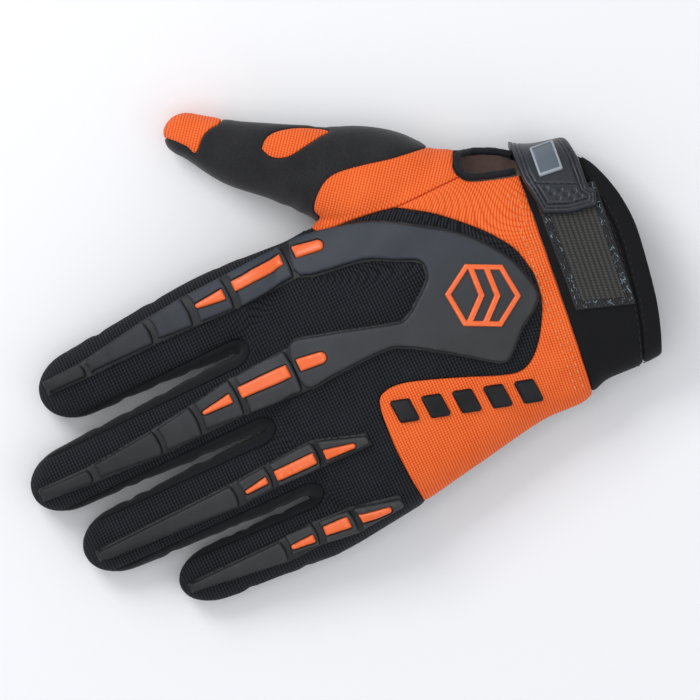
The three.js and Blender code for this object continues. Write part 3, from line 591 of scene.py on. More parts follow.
def arc(wide, tall, turn):
    """Length along a section's skin from its top down to an angle, for its half sizes."""
    bend = 2 / SQUARENESS
    turns = math.pi / 2 + (turn - math.pi / 2)[:, None] * np.linspace(0, 1, 25)
    x = wide[:, None] * np.clip(np.cos(turns), 0, 1) ** bend
    z = tall[:, None] * np.sign(np.sin(turns)) * np.abs(np.sin(turns)) ** bend
    return np.hypot(np.diff(x, axis=1), np.diff(z, axis=1)).sum(1)


def around(sections, along, side, height):
    """Distance round the skin from its top line to places on it, positive to the thumb's side."""
    along = np.clip(along, sections[0, 0], sections[-1, 0])
    left, right, bottom, top = between(sections, along).T
    wide, tall = (right - left) / 2, (top - bottom) / 2
    across = side - (left + right) / 2
    up = height - (bottom + top) / 2
    c = (np.abs(across) / wide) ** (SQUARENESS / 2)
    s = np.sign(up) * (np.abs(up) / tall) ** (SQUARENESS / 2)
    return (left + right) / 2 + np.sign(across) * arc(wide, tall, np.arctan2(s, c))


WEAVE_LEAN = math.radians(5.8)
WRIST_BLEND = 45
THUMB_WEAVE_PLACE = (20, -44.6)  # so that its rows go on from the hand's
WEB_START, WEB_BLEND = 0.22, 0.2  # of a finger's length


def weave_of(points):
    """Across and along the knit, in mm. Its rows run straight across the hand and fingers."""
    xy, z = points[:, :2], points[:, 2]
    x, y = xy.T
    across = around(palm_rows, y, x, z)
    nearest = np.full(len(xy), 0.62)
    for d in fingers:
        along, side = d.local(xy)
        off = np.abs(side) / d.width
        mine = (off < nearest) & (along > WEB_START * d.length)
        nearest = np.where(mine, off, nearest)
        unrolled = d.place(along, around(d.sections, along, side, z))[:, 0]
        part = ease((along / d.length - WEB_START) / WEB_BLEND)
        across = np.where(mine, (1 - part) * across + part * unrolled, across)
    turned = math.tan(WEAVE_LEAN) * ease((y + PALM_LENGTH) / WRIST_BLEND)
    weave = np.stack([across + y * turned, (y - x * turned) * math.cos(WEAVE_LEAN)], 1)
    along, side = thumb.local(xy)
    unrolled = np.stack([around(thumb.sections, along, side, z), along], 1)
    part = (ease((x - 22) / 34) * ease((side / THUMB_WIDTH + 1.1) / 0.5))[:, None]
    return (1 - part) * weave + part * (unrolled + THUMB_WEAVE_PLACE)


def folds_of(points):
    """How far the cloth stands out or sinks, in mm, at each point of the skin."""
    x, y, z = points.T
    # Unevenness all over, waves across the cuff and gathers at the wrist's hem
    depth = 0.18 * np.sin(x / 9.7 + 1.1 * np.sin(y / 14) + 0.7) * np.sin(y / 11.3 - 0.5)
    depth += 0.3 * ease((-86 - y) / 6) * np.sin(y / 4.6 + x / 17) * ease((20 - x) / 30)
    depth += 0.3 * bell(y + 79, 6) * np.sin(x / 1.9 + 0.8 * np.sin(y / 5))
    # Pulls over the thumb's root and creases in its web
    ray = np.arctan2(y + 14, x - 24)
    depth += 0.5 * bell(np.hypot(x - 46, y + 44), 20) * np.sin(9 * ray + 0.08 * x)
    depth -= 0.5 * bell(np.hypot(x - 31, y + 12), 10) * np.abs(np.sin(5 * ray))
    # A crease and a swelling beyond it at each joint, deeper on the underside
    low = z < 0.5 * FINGER_THICKNESS
    for d, joints in [(thumb, (0.42, 0.47)), *[(f, (0.52, 0.74)) for f in fingers]]:
        along, side = d.local(points[:, :2])
        on = (np.abs(side) < 0.6 * d.width) & (along > 0.3 * d.length)
        for i, joint in enumerate(joints):
            bow = along - joint * d.length - 0.06 * side * (-1) ** i
            depth -= on * (0.3 + 0.15 * low) * bell(bow, 1.8)
            depth += on * (0.12 + 0.1 * low) * bell(bow - 4, 2.8)
    return depth


class Skin:
    """The finished skin, to drop flat pieces onto."""

    def __init__(self, points, faces):
        self.points, self.faces = points, faces
        self.normals = normals_of(points, faces)
        self.tree = BVHTree.FromPolygons(points.tolist(), faces.tolist())

    def drop(self, xy):
        """Where plan points meet the skin from above, and the skin's direction there."""
        down = Vector((0, 0, -1))
        hits, found = [], []
        for x, y in xy:
            place, _, face, _ = self.tree.ray_cast(Vector((x, y, 100)), down)
            if place is None:
                place, _, face, _ = self.tree.find_nearest(Vector((x, y, SIDE_SEAM)))
            hits.append(place)
            found.append(face)
        hits = np.array(hits, float)
        corner = self.faces[found]
        a, b, c = self.points[corner].transpose(1, 0, 2)
        e, f, g = b - a, c - a, hits - a
        ee, ef, ff = (e * e).sum(1), (e * f).sum(1), (f * f).sum(1)
        ge, gf = (g * e).sum(1), (g * f).sum(1)
        under = np.maximum(ee * ff - ef * ef, 1e-12)
        v, w = (ff * ge - ef * gf) / under, (ee * gf - ef * ge) / under
        share = np.stack([1 - v - w, v, w], 1)
        normal = (self.normals[corner] * share[..., None]).sum(1)
        return hits, unit(normal)


def smoothed(normals, faces, rounds):
    """Normals evened out over their neighbours."""
    for _ in range(rounds):
        total, middle = normals.copy(), normals[faces].mean(1)
        for k in range(3):
            np.add.at(total, faces[:, k], middle)
        normals = unit(total)
    return normals


# Pieces


def make(name, points, faces, paint, node=None, marks=None, weave=None, sharp=50):
    """A finished piece from points in mm. marks says which of the paints each face has."""
    mesh = blender_mesh(name, (points + SHIFT) * MM, faces)
    if weave is not None:
        layer = mesh.attributes.new("weave", "FLOAT_VECTOR", "POINT")
        layer.data.foreach_set("vector", np.pad(weave, ((0, 0), (0, 1))).astype(np.float32).ravel())
    for material in paint if isinstance(paint, list) else [paint]:
        mesh.materials.append(material)
    if marks is not None:
        mesh.polygons.foreach_set("material_index", np.asarray(marks, np.int32))
    mesh.polygons.foreach_set("use_smooth", np.ones(len(faces), bool))
    mesh.set_sharp_from_angle(angle=math.radians(sharp))
    piece = placed(name, mesh)
    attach(piece, "root")
    if node:
        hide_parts(node)


def whole(points, faces):
    """The mesh without stray scraps of few faces."""
    label = np.arange(len(points))
    while True:
        low = label[faces].min(1)
        new = label.copy()
        for k in range(3):
            np.minimum.at(new, faces[:, k], low)
        new = new[new]
        if (new == label).all():
            break
        label = new
    _, place, count = np.unique(label[faces[:, 0]], return_inverse=True, return_counts=True)
    return pick(points, faces, count[place.ravel()] >= SCRAP_FACES)


def panel(name, mesh, paint, slot, wall=WALL, roll=ROLL, rise=0.0):
    """A sewn panel: its edges turn in at the seams, and it has a wall's thickness."""
    points, faces = whole(*mesh)
    for share in (0.12, 0.35, 0.65, 1.0):
        points, faces, _ = split(points, faces, rim_distance(points, faces), share * ROLL_WIDTH)
    away = rim_distance(points, faces)
    normal = smoothed(normals_of(points, faces), faces, 2)
    turn = np.clip(away / ROLL_WIDTH, 0, 1)
    lift = rise + 0.12 * bell(away - 3, 1.6) - roll * (1 - np.sqrt(1 - (1 - turn) ** 2))
    outer = points[:, :3] + normal * lift[:, None]
    inner = points[:, :3] - normal * wall
    outer[:, 2] = np.maximum(outer[:, 2], 0)
    inner[:, 2] = np.maximum(inner[:, 2], outer[:, 2].min() + 0.3)
    solid, faces, marks = thicken(outer, inner, faces)
    make(f"{name}_panel", solid, faces, paint, name, marks, join([points[:, 3:5]] * 2))


def grow(points, distance):
    """An anticlockwise outline moved outwards by a distance."""
    inward = unit(points - np.roll(points, 1, axis=0))
    onward = unit(np.roll(points, -1, axis=0) - points)
    normal = unit((inward + onward)[:, ::-1] * (1, -1))
    corner = np.maximum(0.5, normal[:, 0] * onward[:, 1] - normal[:, 1] * onward[:, 0])
    return points + normal * (distance / corner)[:, None]


def anticlockwise(points):
    x, y = points.T
    area = (x * np.roll(y, -1) - np.roll(x, -1) * y).sum()
    return points if area > 0 else points[::-1]


def rounded(outline, radius):
    """The field of an outline with its corners rounded: distance inside it."""
    core = grow(anticlockwise(outline), -radius)
    return lambda xy: inside(xy[:, :2], core) + radius


def grid(low, high, step):
    """Triangles over a plan box, as points and faces."""
    tall = step * math.sqrt(3) / 2
    columns = int((high[0] - low[0]) / step) + 3
    rows = int((high[1] - low[1]) / tall) + 3
    i, j = np.meshgrid(np.arange(columns), np.arange(rows), indexing="ij")
    x = low[0] - step + (i + (j % 2) / 2) * step
    y = low[1] - step + j * tall
    points = np.stack([x.ravel(), y.ravel()], 1)
    i, j = i[:-1, :-1].ravel(), j[:-1, :-1].ravel()
    a, b, c, d = i * rows + j, (i + 1) * rows + j, i * rows + j + 1, (i + 1) * rows + j + 1
    even = (j % 2 == 0)[:, None]
    first = np.where(even, np.stack([a, b, c], 1), np.stack([a, b, d], 1))
    second = np.where(even, np.stack([b, d, c], 1), np.stack([a, d, c], 1))
    return points, join([first, second])


def sheet(field, low, high, step, lines=()):
    """The triangles of a plan box where field is positive, cut along each field's levels too."""
    points, faces = grid(low, high, step)
    points, faces, f = split(points, faces, field(points), 0)
    points, faces = pick(points, faces, f[faces].mean(1) > 0)
    for line, levels in lines:
        for level in levels:
            points, faces, _ = split(points, faces, line(points), level)
    return points, faces


def slab(name, xy, faces, top, bottom, paint, node, sharp=50, zone=None):
    """A solid between two faces over one sheet. Where zone > 0, it has the second paint."""
    solid, closed_faces, marks = thicken(top, bottom, faces)
    marks[:] = 0
    if zone:
        marks[: len(faces)] = zone(xy)[faces].mean(1) > 0
    make(name, solid, closed_faces, paint, node, marks, sharp=sharp)


def draped(name, field, box, step, height, lines, paint, slot, node, low=0.05, sharp=40, zone=None):
    """A solid on the skin, with its top at height(xy)."""
    xy, faces = sheet(field, *box, step, lines)
    place, normal = skin.drop(xy)
    top = place + normal * height(xy)[:, None]
    slab(name, xy, faces, top, place + normal * low, paint, node, sharp, zone)


def box_of(*outlines):
    """A plan box with a margin round outlines."""
    points = join(outlines)
    return points.min(0) - 1, points.max(0) + 1


SHOULDER = [0.0, 0.28, 0.55, 0.95, 1.4]
SHOULDER_HEIGHT = [0.0, 0.68, 0.88, 0.97, 1.0]


def shoulder(d, width=1.0):
    """How much of its full height a moulded edge has at a distance inside its outline."""
    return np.interp(d / width, SHOULDER, SHOULDER_HEIGHT)


# Paints


class Paint:
    """A material made of nodes, with short calls to add them."""

    def __init__(self, name, roughness, **sockets):
        self.material = bpy.data.materials.new(name)
        self.material.use_nodes = True
        self.nodes = self.material.node_tree.nodes
        self.links = self.material.node_tree.links
        self.shader = self.nodes["Principled BSDF"]
        for key, value in {"Roughness": roughness, **sockets}.items():
            self.shader.inputs[key.replace("_", " ")].default_value = value

    def put(self, socket, value):
        if isinstance(value, bpy.types.NodeSocket):
            self.links.new(value, socket)
        else:
            socket.default_value = value

    def add(self, kind, output, **inputs):
        """A new node's output."""
        node = self.nodes.new("ShaderNode" + kind)
        for key, value in inputs.items():
            self.put(node.inputs[key.replace("_", " ")], value)
        return node.outputs[output]

    def math(self, operation, *values):
        node = self.nodes.new("ShaderNodeMath")
        node.operation = operation
        for socket, value in zip(node.inputs, values):
            self.put(socket, value)
        return node.outputs[0]

    def plus(self, a, b):
        return self.math("ADD", a, b)

    def times(self, a, b, more=0.0):
        return self.math("MULTIPLY_ADD", a, b, more)

    def ridges(self, a, power=1.0):
        """Round ridges, one over each whole step."""
        wave = self.math("ABSOLUTE", self.math("SINE", self.times(a, math.pi)))
        return self.math("POWER", wave, power)

    def parts(self, place):
        return [self.add("SeparateXYZ", axis, Vector=place) for axis in "XY"]

    def weave(self):
        """The weave's places across and along, in mm."""
        node = self.nodes.new("ShaderNodeAttribute")
        node.attribute_name = "weave"
        return self.parts(node.outputs["Vector"])

    def place(self):
        return self.add("TexCoord", "Object")

    def noise(self, scale, detail=2.0):
        return self.add("TexNoise", "Fac", Vector=self.place(), Scale=scale, Detail=detail)

    def ramp(self, value, *stops):
        node = self.nodes.new("ShaderNodeValToRGB")
        self.put(node.inputs["Fac"], value)
        points = node.color_ramp.elements
        points.remove(points[1])
        points[0].position, points[0].color = stops[0][0], (*stops[0][1], 1)
        for place, colour in stops[1:]:
            points.new(place).color = (*colour, 1)
        return node.outputs["Color"]

    def colour(self, value):
        self.put(self.shader.inputs["Base Color"], value)

    def bump(self, height, depth, **after):
        """depth is the relief's real height in metres."""
        normal = self.add("Bump", "Normal", Height=height, Distance=depth, Strength=1.0, **after)
        self.put(self.shader.inputs["Normal"], normal)
        return normal


def knit(name, low, middle, high, row, column, depth, sheen):
    """Ribbed knit: rows of small loops across the weave. Its colour follows the relief, with painted
    shade in the valleys and painted highlight on the ridges.
    """
    paint = Paint(name, 0.8, Sheen_Weight=sheen, Sheen_Roughness=0.4, Specular_IOR_Level=0.15)
    across, along = paint.weave()
    wander = paint.times(paint.noise(260), 0.3)
    rib = paint.ridges(paint.math("DIVIDE", paint.plus(along, wander), row), 0.7)
    loop = paint.ridges(paint.math("DIVIDE", paint.plus(across, wander), column), 0.7)
    height = paint.math("MULTIPLY", rib, paint.times(loop, 0.6, 0.4))
    height = paint.times(paint.noise(2600, 3), 0.25, height)
    # Painted shade and highlight: the colour runs from the valleys' dark to the ridges' light with the
    # relief's height, plus random tone from the noise.
    tone = paint.times(paint.noise(90), 0.3, height)
    paint.colour(paint.ramp(tone, (0.2, low), (0.75, middle), (1.0, high)))
    paint.bump(height, depth)
    return paint.material


def suede(name, dark, light):
    paint = Paint(name, 0.95, Sheen_Weight=0.15, Sheen_Roughness=0.55, Specular_IOR_Level=0.15)
    nap = paint.noise(1500, 4)
    tone = paint.times(nap, 0.5, paint.times(paint.noise(70, 3), 0.5))
    paint.colour(paint.ramp(tone, (0.3, dark), (0.7, light)))
    paint.bump(nap, 0.00008, Normal=paint.bump(paint.noise(420, 3), 0.00012))
    return paint.material


def jersey(name, dark, light, roughness=0.85, sheen=0.25):
    """A fine smooth knit face."""
    paint = Paint(name, roughness, Sheen_Weight=sheen, Sheen_Roughness=0.5, Specular_IOR_Level=0.2)
    u, v = (paint.math("SINE", paint.times(part, 2 * math.pi / 0.7)) for part in paint.weave())
    stitch = paint.times(paint.math("MULTIPLY", u, v), 0.25, 0.5)
    height = paint.times(paint.noise(1800, 3), 0.5, stitch)
    # Painted shade: the colour is darker in the stitches' hollows and lighter on their crowns, mixed
    # with random tone from the noise.
    paint.colour(paint.ramp(paint.times(height, 0.8), (0.25, dark), (0.85, light)))
    paint.bump(height, 0.00008)
    return paint.material


def rubber(name, dark, light, roughness, side=None, tip_shade=None, coat=0.0, shine=0.4):
    """Moulded rubber, with its edges a little paler. side is its colour towards the thumb's side, and
    the last colour is a painted shade that darkens it towards the fingertips.
    """
    paint = Paint(name, roughness, Coat_Weight=coat, Coat_Roughness=0.25, Specular_IOR_Level=shine)
    edge = paint.add("NewGeometry", "Pointiness")
    edge = paint.add("MapRange", "Result", Value=edge, From_Min=0.5, From_Max=0.62)
    tone = paint.times(edge, 0.5, paint.times(paint.noise(60, 3), 0.6))
    colour = paint.ramp(tone, (0.2, dark), (0.75, light))
    x, y = paint.parts(paint.place())
    # The second mix is painted shade: the rubber gets darker towards the fingertips.
    for value, low, high, other in ((x, -0.03, 0.02, side), (y, 0.025, 0.085, tip_shade)):
        if other:
            part = paint.add("MapRange", "Result", Value=value, From_Min=low, From_Max=high)
            mix = paint.nodes.new("ShaderNodeMix")
            mix.data_type = "RGBA"
            for socket, given in ((0, part), (6, colour), (7, (*other, 1))):
                paint.put(mix.inputs[socket], given)
            colour = mix.outputs[2]
    paint.colour(colour)
    paint.put(paint.shader.inputs["Roughness"], paint.times(paint.noise(140, 3), 0.16, roughness - 0.08))
    paint.bump(paint.noise(900, 4), 0.00002)
    return paint.material


def thread(name, colour, roughness=0.5):
    """Twisted sewing thread."""
    paint = Paint(name, roughness, Specular_IOR_Level=0.2)
    twist = paint.noise(3200)
    paint.colour(paint.ramp(twist, (0.3, tuple(c * 0.6 for c in colour)), (0.7, colour)))
    paint.bump(twist, 0.00002)
    return paint.material


def glints(name, dark, light):
    """Clear shiny thread that is dark but for a few bright spots, which are painted glints."""
    paint = Paint(name, 0.2)
    paint.colour(paint.ramp(paint.noise(420), (0.5, dark), (0.66, light)))
    return paint.material


def loops(name, dark, light, across, along):
    """Loop fastener: rows of small curled fibres. across and along are a tuft's size in mm."""
    paint = Paint(name, 0.6, Sheen_Weight=0.1)
    x, y = paint.parts(paint.place())
    u, v = paint.math("DIVIDE", x, across * MM), paint.math("DIVIDE", y, along * MM)
    odd_row = paint.math("FLOORED_MODULO", paint.math("FLOOR", v), 2.0)
    tuft = paint.times(paint.ridges(paint.times(odd_row, 0.5, u)), 0.6, 0.4)
    tuft = paint.math("MULTIPLY", paint.ridges(v, 0.8), tuft)
    # Painted shade and highlight: the colour follows the tufts, dark in the gaps between them and
    # brightest on their crowns, with random tone from the noise.
    tone = paint.times(paint.math("MULTIPLY", tuft, paint.noise(2300, 4)), 1.3, 0.1)
    paint.colour(paint.ramp(tone, (0.2, dark), (0.6, light), (0.95, tuple(c * 2.2 for c in light))))
    paint.bump(tone, 0.0004)
    return paint.material


# Knit colours: painted shade in the valleys, the middle tone, and painted highlight on the ridges.
BLACK_KNIT_SHADED_TONES = ((0.001, 0.001, 0.0012), (0.006, 0.0065, 0.008), (0.020, 0.022, 0.027))
ORANGE_KNIT_SHADED_TONES = ((0.52, 0.045, 0.005), (0.78, 0.10, 0.013), (0.92, 0.18, 0.045))
ARMOUR_TONES = ((0.024, 0.025, 0.026), (0.046, 0.047, 0.049))
# The armour's bluish colour towards the thumb's side, and a painted shade that darkens it towards the
# fingertips.
ARMOUR_SIDE, ARMOUR_TIP_SHADE = (0.030, 0.036, 0.047), (0.011, 0.012, 0.014)
BLACK_KNIT = knit("black_knit", *BLACK_KNIT_SHADED_TONES, 1.15, 1.25, 0.00035, 0.03)
ORANGE_KNIT = knit("orange_knit", *ORANGE_KNIT_SHADED_TONES, 1.05, 0.95, 0.0002, 0.05)
# The jersey paints' dark colour is painted shade in the stitches' hollows, mixed with random tone.
STRIP_KNIT = jersey("strip_knit", (0.003, 0.003, 0.004), (0.010, 0.011, 0.014), sheen=0.1)
SUEDE = suede("suede", (0.008, 0.008, 0.009), (0.024, 0.024, 0.026))
LINING = suede("lining", (0.30, 0.19, 0.16), (0.48, 0.34, 0.29))
NEOPRENE = jersey("neoprene", (0.002, 0.002, 0.0025), (0.007, 0.007, 0.008), 0.85, 0.03)
BINDING = jersey("binding", (0.003, 0.0035, 0.005), (0.011, 0.012, 0.016), 0.7, 0.05)
ARMOUR = rubber("armour_rubber", *ARMOUR_TONES, 0.64, ARMOUR_SIDE, ARMOUR_TIP_SHADE)
# Painted shade: the armour's base and the blocks' lowest edge are darker, for the shade in the grooves
# between the blocks.
ARMOUR_BASE_SHADE = rubber("armour_base_shade", (0.007, 0.008, 0.009), (0.014, 0.015, 0.018), 0.55)
STRAP = rubber("strap_rubber", (0.009, 0.011, 0.015), (0.025, 0.030, 0.040), 0.4, coat=0.12)
INLAY = rubber("inlay_rubber", (0.80, 0.12, 0.018), (0.93, 0.17, 0.04), 0.4, coat=0.2)
GLOSS = rubber("side_bar_rubber", (0.002, 0.002, 0.003), (0.008, 0.009, 0.012), 0.3, shine=0.25)
SILVER = rubber("plate_frame", (0.22, 0.25, 0.28), (0.38, 0.42, 0.46), 0.35)
PLATE = rubber("plate_face", (0.08, 0.10, 0.12), (0.14, 0.17, 0.21), 0.3)
# Loop paints: their dark colour is painted shade between the tufts, and their crowns get a painted
# highlight.
LOOPS = loops("loop_pile", (0.005, 0.005, 0.005), (0.034, 0.032, 0.028), 1.0, RIB_PITCH)
BORDER = loops("loop_border", (0.003, 0.003, 0.004), (0.013, 0.014, 0.016), 0.8, 0.8)
ORANGE_THREAD = thread("orange_thread", (0.95, 0.34, 0.12))
BLACK_THREAD = thread("black_thread", (0.020, 0.021, 0.026), 0.4)
# Nylon thread: dark, with painted glints.
NYLON_PAINTED_GLINTS = glints("nylon_thread_painted_glints", (0.006, 0.007, 0.009), (0.30, 0.40, 0.46))


# The skin and its panels


def field_of(outline):
    return lambda points: inside(points[:, :2], outline)


def back_outline():
    points = on_palm(BACK_SEAM)
    side, rest = smooth(points[: BACK_PEAK + 1])[:-1], smooth(points[BACK_PEAK:])
    return join([side, rest, [(-FAR, FAR), (FAR, FAR)]])


def suede_outline():
    line = smooth(on_palm(SUEDE_SEAM))
    return join([line, [(FAR, line[-1, 1]), (FAR, FAR), (line[0, 0], FAR)]])


def right_of(seam):
    line = smooth(on_palm(seam))
    return join([line, [(line[-1, 0], -FAR), (FAR, -FAR), (FAR, line[0, 1])]])


def cuff_line(inset):
    """The cuff's open end, or a line at a distance in from it."""
    return smooth(on_cuff(CUFF_END)) + (0, inset)


def cuff_outline(inset):
    corners = [(-FAR, -PALM_LENGTH), (-FAR, FAR), (FAR, FAR), (FAR, -PALM_LENGTH)]
    return join([cuff_line(inset), corners])


STRIP_SIDE, STRIP_END, STRIP_ROUND = 0.72, 0.9, 6
STRIP_STARTS = (0.88, 0.88, 0.6)  # of WEB_REACH, the round ends from the index finger's on


def strip_outline(a, b, start):
    def edge(d, side, along):
        return d.place(along, side * STRIP_SIDE * d.width / 2)

    def web_at(d):
        return (start * WEB_REACH + STRIP_ROUND - d.root[1]) / math.cos(d.lean)

    near_a, near_b = edge(a, -1, web_at(a)), edge(b, 1, web_at(b))
    end_a, end_b = edge(a, -1, STRIP_END * a.length), edge(b, 1, STRIP_END * b.length)
    turn = np.linspace(0, math.pi, 13)[:, None]
    web = near_a + (near_b - near_a) * (1 - np.cos(turn)) / 2
    web = web - STRIP_ROUND * np.sin(turn) * (0, 1)
    return np.array([end_a, *web, end_b, (end_b[0], FAR), (end_b[0] + FINGER_GAP, FAR)])


def side_level(points):
    """The height of the seam between the back and the palm."""
    level = np.full(len(points), SIDE_SEAM)
    fade = ease((points[:, 1] - WEB_REACH) / 8)
    for d in fingers:
        along, side = d.local(points[:, :2])
        reach = (d.width + FINGER_GAP) / 2
        right, left = FAR if d is fingers[0] else reach, FAR if d is fingers[-1] else reach
        on = (side < right) & (side > -left)
        turn = SEAM_TURN * (d.length - d.cap)
        rows = d.sections[d.sections[:, 0] > turn]
        line = np.interp(along, [turn, *rows[:, 0]], [SIDE_SEAM, *(rows[:, 3] + rows[:, 4]) / 2])
        level = np.where(on, SIDE_SEAM + fade * (line - SIDE_SEAM), level)
    return level


def slot_field(points):
    slot = inside(points[:, :2], right_of(SLOT_LIP)) + BINDING_RADIUS + SEAM_GAP
    return np.minimum(slot, points[:, 2] - SIDE_SEAM)


def thumb_patch_field(points):
    field = inside(points[:, :2], smooth_loop(on_thumb(THUMB_PATCH_EDGE)))
    return np.minimum(field, points[:, 2] - THUMB_THICKNESS / 2)


def make_panels(mesh):
    mesh, _ = cut(mesh, field_of(cuff_outline(0)), 0)
    hand, wrist = cut(mesh, lambda p: p[:, 1] + PALM_LENGTH)
    thumb_part, rest = cut(hand, field_of(suede_outline()))
    tip_outline = join([smooth(on_thumb(THUMB_TIP_SEAM)), [(FAR, FAR), (FAR, 0)]])
    tip, thumb_rest = cut(thumb_part, field_of(tip_outline))
    patch, shell = cut(thumb_rest, thumb_patch_field)
    upper, lower = cut(rest, lambda p: p[:, 2] - side_level(p))
    for a, b, start in zip(fingers, fingers[1:], STRIP_STARTS):
        strip, upper = cut(upper, field_of(strip_outline(a, b, start)))
        panel(f"strip_{a.name}_{b.name}", strip, STRIP_KNIT, "finger_knit")
    back, orange = cut(upper, field_of(back_outline()))
    _, orange = cut(orange, slot_field, 0)
    gusset, wrist_panel = cut(orange, field_of(right_of(GUSSET_SEAM)))
    _, wrist = cut(wrist, slot_field, 0)
    cuff, hem = cut(wrist, field_of(cuff_outline(HEM_WIDTH)))
    leather, orange_cloth = ([SUEDE, LINING], "suede"), ([ORANGE_KNIT, LINING], "orange_knit")
    panel("back_panel", back, [BLACK_KNIT, STRIP_KNIT], "rib_knit")
    panel("palm_panel", lower, *leather)
    panel("wrist_panel", wrist_panel, *orange_cloth)
    panel("thumb_gusset", gusset, *orange_cloth)
    panel("thumb_shell", shell, *leather, roll=0.5)
    panel("thumb_tip", tip, *orange_cloth, roll=0.5)
    panel("thumb_patch", patch, *orange_cloth, roll=0.6)
    panel("cuff", cuff, [NEOPRENE, LINING], "neoprene", CUFF_WALL, 0.9)
    panel("cuff_hem", hem, NEOPRENE, "neoprene", CUFF_WALL, 0.9, 0.4)


points, faces = hand_skin()
weave = weave_of(points)
points += normals_of(points, faces) * folds_of(points)[:, None]
points[:, 2] = np.maximum(points[:, 2], 0)
skin = Skin(points, faces)
skin.normals = smoothed(skin.normals, faces, 5)
make_panels((join([points, weave], 1), faces))


# Armour: blocks on a base, with pockets that the bars lie in

BASE_RIM, BASE_TOP, ARMOUR_TOP = 0.25, 0.85, 3.0  # heights over the skin
SKIRT, PLATE_REACH = 0.9, 5  # how far the base reaches past the blocks, and into the plate
POCKET, POCKET_EDGE = 0.8, 0.45
BLOCK_BOW = 0.7
BAR_LOW, BAR_ROUND = ARMOUR_TOP - POCKET + 0.05, 0.4
BLOCK_LEVELS = [1e-3, *SHOULDER[1:]]


def block_outline(digit, row):
    """A block's outline. Its ends bow towards the wrist."""
    near, far, near_left, near_right, far_left, far_right = row
    t = np.linspace(0, 1, 7)
    dip = BLOCK_BOW * (1 - (2 * t - 1) ** 2)
    near_side = (near_left + (near_right - near_left) * t) * digit.width
    far_side = (far_right + (far_left - far_right) * t) * digit.width
    near_line = digit.place(near * digit.length - dip, near_side)
    return join([near_line, digit.place(far * digit.length - dip[::-1], far_side)])


def base_outline(digit, reach):
    """The outline under a finger's blocks. It reaches on into the plate by the reach."""
    rows = np.array(ARMOUR_ROWS[digit.name])
    lines = join([rows[:1, [1, 4, 5]], rows[:, [0, 2, 3]]])
    if reach:
        lines = join([lines, lines[-1:] - (reach / digit.length, 0, 0)])
    along, left, right = lines.T * [[digit.length], [digit.width], [digit.width]]
    edges = [digit.place(along, left)[::-1], digit.place(along, right)]
    return grow(anticlockwise(join(edges)), SKIRT)


def bar_outline(digit, row, *fullness):
    """A bar's outline. An end with a fullness is round, and at least that share as wide as the other."""
    near, far, near_left, near_right, far_left, far_right = row
    widths = (near_right - near_left, far_right - far_left)
    middles = ((near_left + near_right) / 2, (far_left + far_right) / 2)
    ends = []
    for i, (along, way) in enumerate(((near, 1), (far, -1))):
        half = max(widths[i], widths[1 - i] * fullness[i]) * digit.width / 2
        turn = np.linspace(-1, 1, 11 if fullness[i] else 2) * math.pi / 2
        inset = half * (1 - np.cos(turn)) * (fullness[i] > 0)
        side = middles[i] * digit.width + half * np.sin(turn)
        ends.append(digit.place(along * digit.length + way * inset, side))
    return join([ends[0], ends[1][::-1]])


TIP_FULLNESS = 0.45
WRIST_FULLNESS = {"index": 0.9, "middle": 0.9, "ring": 0.5, "little": 0.5}


def bars_of(digit):
    """Each finger's bars: the first is round at its tip's end, and the last at its wrist's."""
    fullness = ((0, TIP_FULLNESS), (0, 0), (WRIST_FULLNESS[digit.name], 0))
    outlines = [bar_outline(digit, row, *ends) for row, ends in zip(BAR_ROWS[digit.name], fullness)]
    return [(outline, rounded(outline, BAR_ROUND)) for outline in outlines]


def union(fields):
    return lambda xy: np.max([f(xy) for f in fields], axis=0)


def make_armour(node, plans, plates=()):
    outlines = [base_outline(d, PLATE_REACH if plates else 0) for d in plans]
    skirts = [lambda xy, q=q: inside(xy, q) + SKIRT for q in plates]
    base = union([field_of(o) for o in outlines] + skirts)
    blocks = [rounded(block_outline(d, r), 0.7) for d in plans for r in ARMOUR_ROWS[d.name]]
    blocks += [rounded(p, 1.2) for p in plates]
    bars = [field for d in plans for _, field in bars_of(d)]
    block, bar = union(blocks), union(bars)

    def height(xy):
        on = block(xy)
        top = BASE_RIM + (BASE_TOP - BASE_RIM) * shoulder(base(xy), 0.5)
        top += (ARMOUR_TOP - BASE_TOP) * shoulder(on)
        return top - POCKET * ease((bar(xy) + POCKET_EDGE) / 0.2) * (on > 0)

    # Faces outside the blocks and on their lowest edge get the base's painted shade.
    def zone(xy):
        return block(xy) - 0.15

    lines = [(f, BLOCK_LEVELS) for f in blocks] + [(f, (-POCKET_EDGE, -0.25)) for f in bars]
    lines += [(f, (0.18,)) for f in blocks]
    box, paints = box_of(*outlines, *plates), [ARMOUR_BASE_SHADE, ARMOUR]
    draped(f"{node}_rubber", base, box, 0.9, height, lines, paints, "armour", node, zone=zone)


def moulding(node, ending, outline, field, low, rise, edge, paint, slot, bottom):
    """A raised shape whose top goes up from low by rise, over its edge's width."""
    lines = [(field, [k * edge for k in SHOULDER[1:]])]

    def height(xy):
        return low + rise * shoulder(field(xy), edge)

    draped(node + ending, field, box_of(outline), 0.5, height, lines, paint, slot, node, bottom)


def make_bars(digit):
    for i, (outline, field) in enumerate(bars_of(digit), 1):
        node = f"bar_{digit.name}_{i}"
        moulding(node, "_inlay", outline, field, 2.6, 1.0, 1.1, INLAY, "inlay", BAR_LOW)


index, middle, ring, little = fingers
plate = anticlockwise(smooth_loop(on_palm(PLATE_EDGE)))
make_armour("armour_hand", [index, middle], [plate])
make_armour("armour_ring", [ring])
make_armour("armour_little", [little])
for digit in fingers:
    make_bars(digit)


